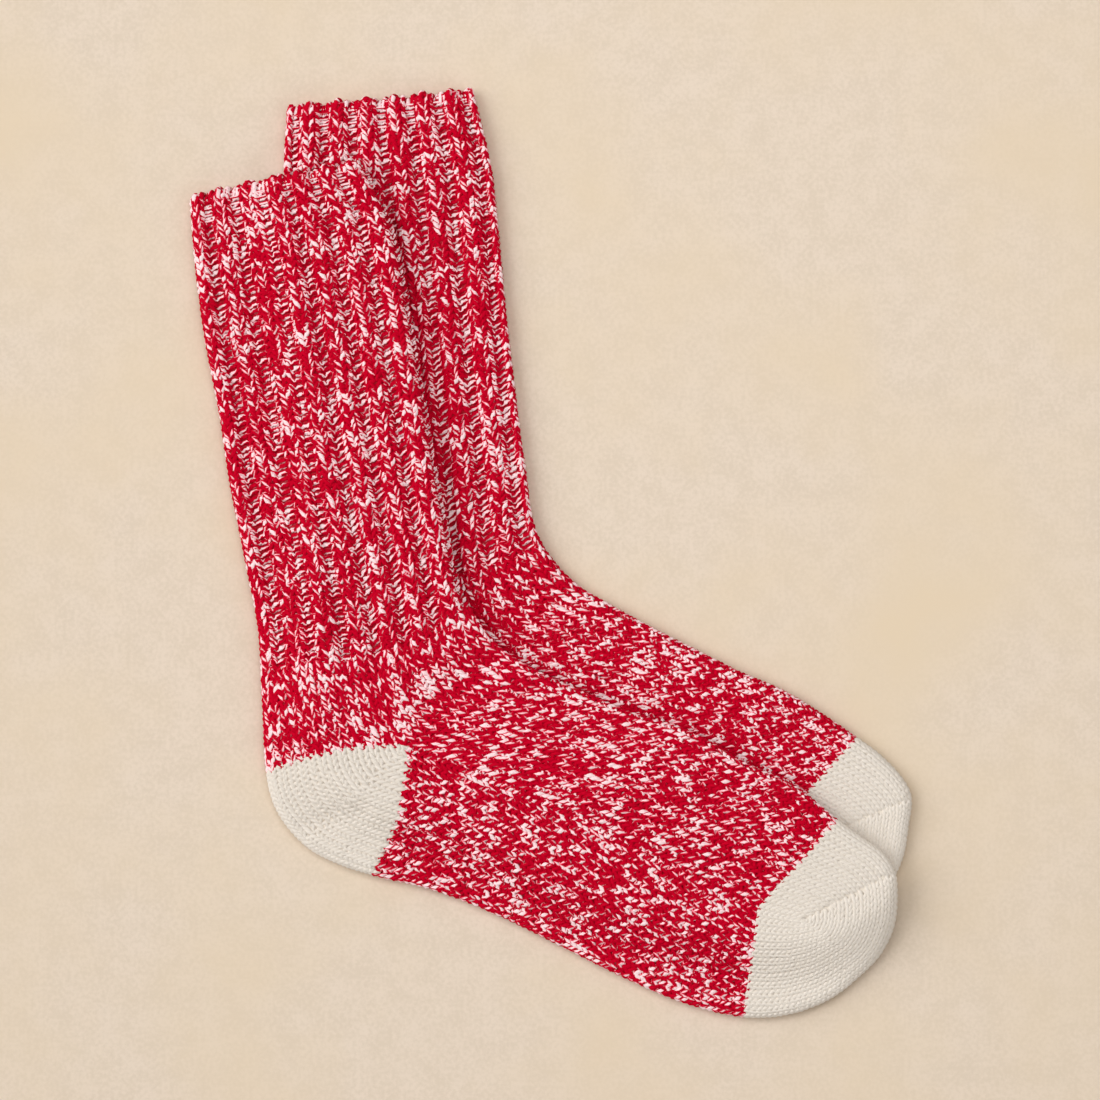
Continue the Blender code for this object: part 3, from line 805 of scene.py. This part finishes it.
    def rung(self, gutter, course):
        """A short straight bar of yarn across a gutter, half way between two courses."""
        a = gutter + np.linspace(-RUNG_HALF, RUNG_HALF, RUNG_POINTS)
        down = self.knit.share(a, np.full(RUNG_POINTS, course + RUNG_DOWN))
        points, out = self.knit.at(a, down)
        centre = points - (self.flat + PURL_SINK) * out
        turn = WHITE_UP + 0.5 * PLY_DRIFT * self.turn[1, course, gutter % ALL_WALES]
        turn, white = np.full(RUNG_POINTS, turn), np.full(RUNG_POINTS, RUNG_WHITE)
        square, place = np.zeros(RUNG_POINTS, int), (a - a[0]) / (2 * RUNG_HALF)
        self.tube(centre, out, turn, white, square, place, False, RUNG_SCALE)

    def lay(self, first, last):
        """All the strands of the area between two courses."""
        knit = self.knit
        for course in range(first, last):
            wales = np.arange(round(knit.first), round(knit.last))
            shown = knit.count(wales + 0.5) > course + SHOWN_FROM
            if self.hidden is not None:
                shown &= ~self.hidden[course, wales % ALL_WALES]
            if knit.round and shown.all():
                self.strand(course, wales[0], wales[-1] + 1, True)
                continue
            if knit.round:
                # starts the round at a hidden stitch, so that no run is cut in two
                start = int(np.argmax(~shown))
                wales, shown = np.roll(wales, -start), np.roll(shown, -start)
                wales = np.where(wales < start, wales + ALL_WALES, wales)
            edges = np.flatnonzero(np.diff(np.concatenate([[False], shown, [False]]).astype(int)))
            for low, high in zip(edges[::2], edges[1::2]):
                self.strand(course, wales[low], wales[high - 1] + 1, False)

    def make(self, name, material):
        """The mesh of every strand laid so far, which are then forgotten."""
        points, quads = np.vstack(self.points), np.vstack(self.quads)
        caps = self.caps
        loops = np.concatenate([quads.ravel(), *caps])
        starts = np.concatenate([
            np.arange(len(quads)) * 4, quads.size + np.arange(len(caps)) * YARN_SIDES
        ])
        mesh = bpy.data.meshes.new(name)
        mesh.vertices.add(len(points))
        mesh.vertices.foreach_set("co", points.ravel())
        mesh.loops.add(len(loops))
        mesh.loops.foreach_set("vertex_index", loops.astype(np.int32))
        mesh.polygons.add(len(starts))
        mesh.polygons.foreach_set("loop_start", starts.astype(np.int32))
        mesh.polygons.foreach_set("use_smooth", np.ones(len(starts), bool))
        # each stitch has a small square of its own in the baked picture
        side = int(np.ceil(np.sqrt(self.square_total)))
        square = np.concatenate([number for number, _ in self.squares])[:, None]
        within = np.concatenate([place for _, place in self.squares])
        within = PICTURE_MARGIN + (1 - 2 * PICTURE_MARGIN) * within
        picture = np.stack([square % side + within[..., 0], square // side + within[..., 1]], -1)
        for layer, corners in (("yarn", np.concatenate(self.twists)), ("OFBake", picture / side)):
            spread = np.zeros((len(loops), 2))
            spread[:quads.size] = corners.reshape(-1, 2)
            mesh.uv_layers.new(name=layer).data.foreach_set("uv", spread.ravel())
        mesh.attributes.new("white_share", "FLOAT", "POINT").data.foreach_set(
            "value", np.concatenate(self.whites).astype(np.float32)
        )
        mesh.validate()
        mesh.update()
        mesh.materials.append(material)
        thing = bpy.data.objects.new(name, mesh)
        bpy.context.collection.objects.link(thing)
        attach(thing, "root")
        self.forget()
        return thing


RED, PINK, WHITE = (0.55, 0.0, 0.018, 1), (1.0, 0.23, 0.31, 1), (1.0, 0.76, 0.78, 1)
# the darker cream is painted shade in the grooves between the plies, the paler one the yarn on
# their ridges
CREAM_IN_GROOVE_SHADE, PALE_CREAM = (0.765, 0.695, 0.608, 1), (0.795, 0.730, 0.655, 1)
FUZZ_SCALE, FLECK_SCALE = 1500.0, 600.0


def two_ply(name, roughness, gloss):
    """A yarn's material, with its turns, its fuzz and the two ridges of its plies."""
    material, tree, shader = new_material(name, roughness)
    shader.inputs["Specular IOR Level"].default_value = gloss
    twist = add_node(tree, "ShaderNodeUVMap", uv_map="yarn").outputs["UV"]
    turns = add_node(tree, "ShaderNodeSeparateXYZ", {"Vector": twist}).outputs["X"]
    fuzz = noise(tree, here_on(tree), FUZZ_SCALE, 3.0)
    ridges = maths(tree, "ABSOLUTE", maths(tree, "SINE", maths(
        tree, "MULTIPLY", turns, 2 * np.pi)))
    return material, tree, shader, turns, fuzz, ridges


def marl_yarn():
    """Two plies, one red and one that carries the white, twisted together."""
    material, tree, shader, turns, fuzz, ridges = two_ply("marled yarn", 0.82, 0.04)
    share = add_node(tree, "ShaderNodeAttribute", attribute_name="white_share").outputs["Fac"]
    ragged = maths(tree, "MULTIPLY_ADD", fuzz, 0.12, -0.06)
    phase = maths(tree, "FRACT", maths(tree, "ADD", turns, ragged))
    aside = maths(tree, "ABSOLUTE", maths(tree, "SUBTRACT", phase, 0.5))
    inside = maths(tree, "SUBTRACT", maths(tree, "MULTIPLY", share, 0.5), aside)
    # the red shines pink through the edges of the white ply
    pink, white = (
        ranged(tree, inside, low, high, interpolation_type="SMOOTHSTEP")
        for low, high in ((-0.065, 0.01), (-0.005, 0.05))
    )
    colour = blend_colours(tree, white, blend_colours(tree, pink, RED, PINK), WHITE)
    worn = ranged(tree, fuzz, 0.3, 0.7, (0.93, 1.1))
    shade = add_node(tree, "ShaderNodeVectorMath", {0: colour, "Scale": worn}, operation="SCALE")
    tree.links.new(shade.outputs[0], shader.inputs["Base Color"])
    roughened(tree, shader, maths(tree, "MULTIPLY_ADD", fuzz, 0.5, ridges), 0.6, 0.25 * MM)
    return material


def cream_yarn():
    """An undyed two-ply yarn, painted darker as shade in the grooves between its plies."""
    material, tree, shader, _, fuzz, ridges = two_ply("cream yarn", 0.85, 0.1)
    # painted shade: the yarn is darker where its two plies meet and lighter on their ridges
    colour = blend_colours(tree, ranged(tree, ridges, 0.0, 0.6), CREAM_IN_GROOVE_SHADE, PALE_CREAM)
    tree.links.new(colour, shader.inputs["Base Color"])
    roughened(tree, shader, maths(tree, "MULTIPLY_ADD", fuzz, 0.8, ridges), 0.25, 0.2 * MM)
    return material


def cloth_behind(name, deep, pale):
    """The cloth seen between the stitches and inside the cuff."""
    material, tree, shader = new_material(name, 0.95)
    fleck = noise(tree, here_on(tree), FLECK_SCALE, 2.0)
    colour = blend_colours(tree, ranged(tree, fleck, 0.52, 0.6), deep, pale)
    tree.links.new(colour, shader.inputs["Base Color"])
    roughened(tree, shader, fleck, 0.6, 0.5 * MM)
    return material


marl = marl_yarn()
cream = cream_yarn()
# the marled cloth is a darker red than the yarn: painted shade for the gaps between the loops
marl_behind_painted_shade = cloth_behind("marled cloth in painted shade", (0.42, 0.0, 0.012, 1), (0.50, 0.012, 0.03, 1))
cream_behind = cloth_behind("cream cloth behind", (0.80, 0.72, 0.62, 1), (0.84, 0.77, 0.67, 1))

# how far the cloth lies under the form of the solid, by its finish
CLOTH_SINK = {"marl_knit": 1.25 * MM, "cream_knit": 0.90 * MM}
WELD = 0.01 * MM              # points of the cloth nearer than this are joined


def cloth(name, lie, plan, upper, raised, closed_round, material, node, slot):
    """The thin closed cloth under the stitches, between its outer and inner faces."""
    points, out = lie.outer(plan, upper, raised)
    outer = points - out * CLOTH_SINK[slot]
    inner = lie.inner(plan, upper)
    rows, columns = plan.shape[:2]
    k, m = np.meshgrid(
        np.arange(rows - 1), np.arange(columns if closed_round else columns - 1), indexing="ij"
    )
    k, m = k.ravel(), m.ravel()
    m1 = (m + 1) % columns
    a, b, c, d = k * columns + m, k * columns + m1, (k + 1) * columns + m1, (k + 1) * columns + m
    size = rows * columns
    faces = [np.stack([a, d, c, b], 1), np.stack([a, b, c, d], 1) + size]
    m = np.arange(columns if closed_round else columns - 1)
    m1 = (m + 1) % columns
    end = (rows - 1) * columns
    faces.append(np.stack([m, m1, m1 + size, m + size], 1))
    faces.append(np.stack([m + end, m + end + size, m1 + end + size, m1 + end], 1))
    if not closed_round:
        k = np.arange(rows - 1) * columns
        faces.append(np.stack([k + columns, k, k + size, k + columns + size], 1))
        k = k + columns - 1
        faces.append(np.stack([k, k + columns, k + columns + size, k + size], 1))
    mesh = bpy.data.meshes.new(name)
    mesh.from_pydata(
        np.vstack([outer.reshape(-1, 3), inner.reshape(-1, 3)]).tolist(), [],
        np.vstack(faces).tolist(),
    )
    mesh.materials.append(material)
    mesh.shade_smooth()
    thing = bpy.data.objects.new(name, mesh)
    bpy.context.collection.objects.link(thing)
    bpy.ops.object.select_all(action="DESELECT")
    thing.select_set(True)
    bpy.context.view_layer.objects.active = thing
    bpy.ops.object.mode_set(mode="EDIT")
    bpy.ops.mesh.select_all(action="SELECT")
    bpy.ops.mesh.remove_doubles(threshold=WELD)
    bpy.ops.mesh.normals_make_consistent(inside=False)
    bpy.ops.object.mode_set(mode="OBJECT")
    thing.select_set(False)
    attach(thing, "root")
    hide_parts(node)
    return thing


def drawn_in(plan, row, inner_row):
    """Moves one row of the plan half a seam's gap towards the next row in."""
    step = plan[inner_row] - plan[row]
    length = np.linalg.norm(step, axis=-1, keepdims=True)
    plan[row] += step / np.maximum(length, SAME_POINT) * SEAM_GAP / 2


HIDDEN_MARGIN = 4.5 * MM      # how far inside the other sock's edge a stitch is left out


def hidden_cells(knit, courses, other, on_upper):
    """Stitches that lie between the two socks, where nothing can show them."""
    wales = np.arange(ALL_WALES)
    numbered = np.where(wales + 0.5 > knit.last, wales - ALL_WALES, wales)
    hidden = np.zeros((courses, ALL_WALES), bool)
    fits = (numbered >= knit.first) & (numbered < knit.last)
    turned = wales + 0.5
    upper = turned < FACE_WALES
    middle = numbered[fits] + 0.5
    for course in range(courses):
        points, _ = knit.at(middle, np.clip(knit.share(middle, course + 0.5), 0, 1))
        covered = other.inside(points[:, :2]) > HIDDEN_MARGIN
        hidden[course, wales[fits]] = covered & (upper[fits] == on_upper)
    return hidden


def even(courses):
    """Every wale has the same count of courses."""
    return lambda wale: np.full(np.shape(wale), float(courses))


def on_underside(wale):
    return wale % ALL_WALES >= FACE_WALES + 1 and wale % ALL_WALES < ALL_WALES - 1


def knitted(name, knit, courses, other, on_upper, seed, gauge, material):
    """One plain area of stitches, all in one piece."""
    hidden = hidden_cells(knit, courses, other, on_upper)
    stitches = Stitches(knit, courses, seed, gauge, coarse=on_underside, hidden=hidden)
    stitches.lay(0, courses)
    return stitches.make(name, material)


# The ribbed legs.
# Two wales plain and two purl make each of the seven ribs of a face. The purl wales draw
# back between the plain ones, and the ribs fade into smooth knitting above the heel.

LEG_COURSES = 91
CUFF_COURSES = 14
RIB_COURSES = 76
RIBS_FULL_TO, RIBS_END_AT = 0.80, 0.88      # shares of the leg's length from the cuff
# by wales from a gutter: where a point comes to lie, and its share of the rib's height
GATHERED = ((0, 1, 1.5, 2, 2.5, 3, 4), (0, 0.74, 1.28, 2, 2.72, 3.26, 4))
RIB_PROFILE = ((0, 0.5, 1, 1.41, 2), (-0.80, -0.72, -0.05, 0.85, 1))
ANKLE_REACH, ANKLE_EASE_IN, ANKLE_STEP = 0.24, 0.12, 0.01
CLOTH_SHORT_OF_RIM = 0.2                    # of a row of the cloth
RIM_DOWN, RIM_WAVE = 0.0105, 0.8 * MM
RIM_TALL, RIM_THICK, RIM_DEPTH = 1.8 * MM, 0.75 * MM, 1.85 * MM


def ribbed(down):
    """How strongly the knitting is ribbed at a share of the leg's length."""
    share = np.clip((RIBS_END_AT - np.asarray(down)) / (RIBS_END_AT - RIBS_FULL_TO), 0, 1)
    return share**2 * (3 - 2 * share)


def ribbing(gutter):
    """How the wales spread, rise and turn to purl, for gutters at every fourth wale."""
    def within(wale):
        return np.mod(wale - gutter, RIB_WALES)

    def gathered_in(wale):
        # plain wales take nearly a third of a rib each, purl wales a little over half of that
        return wale - within(wale) + np.interp(within(wale), *GATHERED)

    def spread(wale, down):
        strength = ribbed(down)
        return strength * (gathered_in(wale) - gathered_in(0)) + (1 - strength) * wale

    def rise(wale, down):
        profile = np.interp(np.minimum(within(wale), RIB_WALES - within(wale)), *RIB_PROFILE)
        return RIB_HEIGHT * profile[None, :] * ribbed(down)[:, None]

    def is_purl(wale, course):
        return within(wale) in (0, 3) and course < RIB_COURSES

    return spread, rise, is_purl


def leg_and_foot_plans(lie):
    """The plans of a sock's leg and foot, which meet on the line from the gore to the ankle.

    Near that line each is eased, so that a wale runs over it without a bend.
    """
    heel_top, heel_end, ankle = (lie.station(at) for at in (lie.heel_top, lie.heel_end, lie.ankle))
    over_ankle = bowed(lie.gore, ankle)
    leg = patch(
        bowed(lie.station(0), lie.station(lie.cuff_front)),
        joined(bowed(heel_top, lie.gore, HEEL_TOP_BULGE), over_ankle),
        lie.edge(0, lie.heel_top), lie.edge(lie.cuff_front, lie.ankle),
    )
    foot = patch(
        joined(bowed(heel_end, lie.gore, -HEEL_SOLE_BULGE), over_ankle),
        joined(bowed(lie.station(lie.toe_sole), lie.toe_corner),
               bowed(lie.toe_corner, lie.station(lie.toe_instep))),
        lie.edge(lie.heel_end, lie.toe_sole), lie.edge(lie.ankle, lie.toe_instep),
    )

    def changes(u):
        end = np.ones(np.shape(u))
        arrive = (leg(u, end) - leg(u, (1 - ANKLE_STEP) * end)) / ANKLE_STEP
        leave = (foot(u, ANKLE_STEP * end) - foot(u, 0 * end)) / ANKLE_STEP
        paces = [np.linalg.norm(run, axis=-1, keepdims=True) for run in (arrive, leave)]
        common = arrive / paces[0] + leave / paces[1]
        common /= np.linalg.norm(common, axis=-1, keepdims=True)
        share = np.clip((np.asarray(u) - 0.5) / ANKLE_EASE_IN, 0, 1)[..., None]
        weight = share**2 * (3 - 2 * share)
        return weight * (common * paces[0] - arrive), weight * (common * paces[1] - leave)

    def eased_leg(u, v):
        u, v = np.broadcast_arrays(u, v)
        s = np.clip(1 - (1 - v) / ANKLE_REACH, 0, 1)[..., None]
        return leg(u, v) + ANKLE_REACH * (s**3 - s**2) * changes(u)[0]

    def eased_foot(u, v):
        u, v = np.broadcast_arrays(u, v)
        s = np.clip(v / ANKLE_REACH, 0, 1)[..., None]
        return foot(u, v) + ANKLE_REACH * (s**3 - 2 * s**2 + s) * changes(u)[1]

    return eased_leg, eased_foot


for (sock_name, node_name, lie, other), seed, gutter in zip(PAIR, (11, 47), (3, 2)):
    plan_at, _ = leg_and_foot_plans(lie)
    spread, rise, is_purl = ribbing(gutter)
    knit = Knit(lie, plan_at, (0, ALL_WALES), even(LEG_COURSES), LEG_COURSES + 1, spread, rise,
                lead=0.5)
    plan = knit.plan[::2, ::2].copy()
    drawn_in(plan, -1, -2)
    plan[0] += CLOTH_SHORT_OF_RIM * (plan[1] - plan[0])
    raised = knit.raised[::2, ::2]
    sheet = cloth(sock_name + "_leg_cloth", lie, plan, knit.upper[::2, ::2], raised, True,
                  marl_behind_painted_shade, node_name + "_leg", "marl_knit")
    hidden = hidden_cells(knit, LEG_COURSES, other, sock_name == "back")
    stitches = Stitches(knit, LEG_COURSES, seed, LEG_GAUGE, is_purl, gutter,
                        coarse=on_underside, hidden=hidden)
    pieces = []
    for part, first, last in (
        ("cuff", 0, CUFF_COURSES), ("rib", CUFF_COURSES, RIB_COURSES),
        ("ankle", RIB_COURSES, LEG_COURSES),
    ):
        stitches.lay(first, last)
        if part == "cuff":
            stitches.bind(RIM_DOWN, RIM_TALL, RIM_THICK, RIM_DEPTH, RIM_WAVE)
            for middle in range(gutter, gutter + ALL_WALES, RIB_WALES):
                for course in range(LADDER_COURSES):
                    if not hidden[course, middle % ALL_WALES]:
                        stitches.rung(middle, course)
        pieces.append(stitches.make(f"{sock_name}_{part}_stitches", marl))

# The smooth feet.
# Plain knitting from the ankle and the heel to the toe.

FOOT_COURSES = 61

for (sock_name, node_name, lie, other), seed in zip(PAIR, (83, 129)):
    _, plan_at = leg_and_foot_plans(lie)
    knit = Knit(lie, plan_at, (0, ALL_WALES), even(FOOT_COURSES), FOOT_COURSES + 1)
    plan = knit.plan[::2, ::2].copy()
    drawn_in(plan, 0, 1)
    drawn_in(plan, -1, -2)
    sheet = cloth(sock_name + "_foot_cloth", lie, plan, knit.upper[::2, ::2], 0.0, True,
                  marl_behind_painted_shade, node_name + "_foot", "marl_knit")
    pieces = [knitted(sock_name + "_foot_stitches", knit, FOOT_COURSES, other,
                      sock_name == "back", seed, FOOT_GAUGE, marl)]

# The heel pockets, in cream yarn.
# Each is turned with short rows: the wales run down from the leg, turn at a mitre from the
# gore to the outline, and run on towards the foot.

HEEL_COURSES = 16
HEEL_MITRE = 2.75             # in stations from the heel's top
HEEL_SPOKES = 25
HEEL_EDGE = 0.2               # share of a spoke, next to the outline, with closer points
HEEL_POINTS, HEEL_EDGE_POINTS = 13, 9


def fanned(courses):
    """Wales that grow shorter from the middle to nothing at the two folds."""
    return lambda wale: courses * (1 - np.abs(wale) / HALF_FACE)


for (sock_name, node_name, lie, other), seed in zip(PAIR, (211, 257)):
    top = bowed(lie.station(lie.heel_top), lie.gore, HEEL_TOP_BULGE)
    sole = bowed(lie.station(lie.heel_end), lie.gore, -HEEL_SOLE_BULGE)
    mitre_at = lie.heel_top + HEEL_MITRE
    mitre = bowed(lie.station(mitre_at), lie.gore)

    outline = lie.edge(lie.heel_top, lie.heel_end)
    turns = np.linspace(1, 0, HEEL_SPOKES)[:, None, None]
    reach = np.concatenate([
        np.linspace(0, 1 - HEEL_EDGE, HEEL_POINTS),
        1 - HEEL_EDGE * np.linspace(0.8, 0, HEEL_EDGE_POINTS) ** 2,
    ])
    reach = np.unique(reach)[None, :, None]
    ends = outline(turns[:, 0, 0])[:, None]
    middle = np.array(0.5)
    bow_top = top(middle) - (lie.station(lie.heel_top) + lie.gore) / 2
    bow_sole = sole(middle) - (lie.station(lie.heel_end) + lie.gore) / 2
    bow = (1 - turns) * bow_top + turns * bow_sole
    plan = lie.gore + (ends - lie.gore) * reach + bow * 4 * reach * (1 - reach)
    drawn_in(plan, 0, 1)
    drawn_in(plan, -1, -2)
    inward = ends[HEEL_SPOKES // 2, 0] - lie.gore
    plan[:, 0] += inward / np.linalg.norm(inward) * SEAM_GAP
    plan = np.concatenate([plan, plan[:, -2::-1]], axis=1)
    upper = np.zeros(plan.shape[:2], bool)
    upper[:, :reach.shape[1]] = True
    sheet = cloth(sock_name + "_heel_cloth", lie, plan, upper, 0.0, False,
                  cream_behind, node_name + "_heel", "cream_knit")
    pieces = []
    for part, near, far, left, number in (
        ("top", top, mitre, lie.edge(lie.heel_top, mitre_at), 0),
        ("sole", mitre, sole, lie.edge(mitre_at, lie.heel_end), 9),
    ):
        knit = Knit(lie, patch(near, far, left, gathered(lie.gore)), (-HALF_FACE, HALF_FACE),
                    fanned(HEEL_COURSES), HEEL_COURSES + 1)
        pieces.append(knitted(f"{sock_name}_heel_{part}_stitches", knit, HEEL_COURSES, other,
                              sock_name == "back", seed + number, CREAM_GAUGE, cream))

# The toe pockets, in the same cream yarn.
# A strip goes on round the instep, the sole's half is turned with short rows like the heel,
# and the two are linked by a seam across the top of the toes.

# courses at the folds and in the middle
TOE_STRIP, TOE_SOLE, TOE_END = (8, 13), (8, 26), 17
TOE_SEAM = 7                  # in stations from the toe's first, as the mitres below are
TOE_ROWS, TOE_ACROSS = 17, 29
TOE_CROWDING = 1.6            # how the cloth's rows close up towards the tip
SEAM_GROOVE = 0.55 * MM


def groove_at(edge):
    """The cloth dips along the seam, at the first or the last row of an area."""
    return lambda wale, down: -SEAM_GROOVE * np.isclose(down, edge)[:, None] * np.ones(len(wale))


def narrowing(courses, middle):
    """Wales that grow shorter from the middle one to the two folds."""
    least, most = courses
    return lambda wale: most - (most - least) * np.abs(wale - middle) / HALF_FACE


for (sock_name, node_name, lie, other), seed, heart, mitre_at in zip(
    PAIR, (307, 353), ((89.8, -130.9), (97.4, -101.7)), (3.6, 4.15),
):
    heart = (np.array(heart) - pair_centre) * MM
    seam_at, mitre_at = lie.toe_sole + TOE_SEAM, lie.toe_sole + mitre_at
    sole_side = bowed(lie.station(lie.toe_sole), lie.toe_corner)
    instep_side = bowed(lie.toe_corner, lie.station(lie.toe_instep))
    to_heart = bowed(lie.toe_corner, heart)
    seam = bowed(lie.station(seam_at), heart)
    mitre = bowed(lie.station(mitre_at), heart)

    tip = lie.station(lie.tip)
    whole = patch(joined(sole_side, instep_side), gathered(tip),
                  lie.edge(lie.toe_sole, lie.tip), lie.edge(lie.toe_instep, lie.tip))
    rows = 1 - (1 - np.linspace(0, 1, TOE_ROWS)) ** TOE_CROWDING
    across = 0.5 - 0.5 * np.cos(np.linspace(0, np.pi, TOE_ACROSS))
    across = 0.5 * across + 0.5 * (0.5 - 0.5 * np.cos(np.pi * across))
    plan = whole(across[None, :], rows[:, None])
    drawn_in(plan, 0, 1)
    plan[-1] = tip
    plan = np.concatenate([plan, plan[:, -2:0:-1]], axis=1)
    upper = np.zeros(plan.shape[:2], bool)
    upper[:, :TOE_ACROSS] = True
    sheet = cloth(sock_name + "_toe_cloth", lie, plan, upper, 0.0, True,
                  cream_behind, node_name + "_toe", "cream_knit")
    pieces = []
    for part, shape, wales, count, flip, courses, groove, number in (
        ("strip", patch(instep_side, lambda s: seam(1 - np.asarray(s)), to_heart,
                        lie.edge(lie.toe_instep, seam_at)),
         (HALF_FACE, 3 * HALF_FACE), narrowing(TOE_STRIP, FACE_WALES), False, TOE_STRIP[1],
         groove_at(1), 0),
        ("sole", patch(sole_side, mitre, lie.edge(lie.toe_sole, mitre_at), to_heart),
         (-HALF_FACE, HALF_FACE), narrowing(TOE_SOLE, 0), False, TOE_SOLE[1], None, 9),
        ("end", patch(seam, mitre, lie.edge(seam_at, mitre_at), gathered(heart)),
         (-HALF_FACE, HALF_FACE), fanned(TOE_END), True, TOE_END, groove_at(0), 18),
    ):
        knit = Knit(lie, shape, wales, count, courses + 1, raised=groove, flipped=flip)
        pieces.append(knitted(f"{sock_name}_toe_{part}_stitches", knit, courses, other,
                              sock_name == "back", seed + number, CREAM_GAUGE, cream))
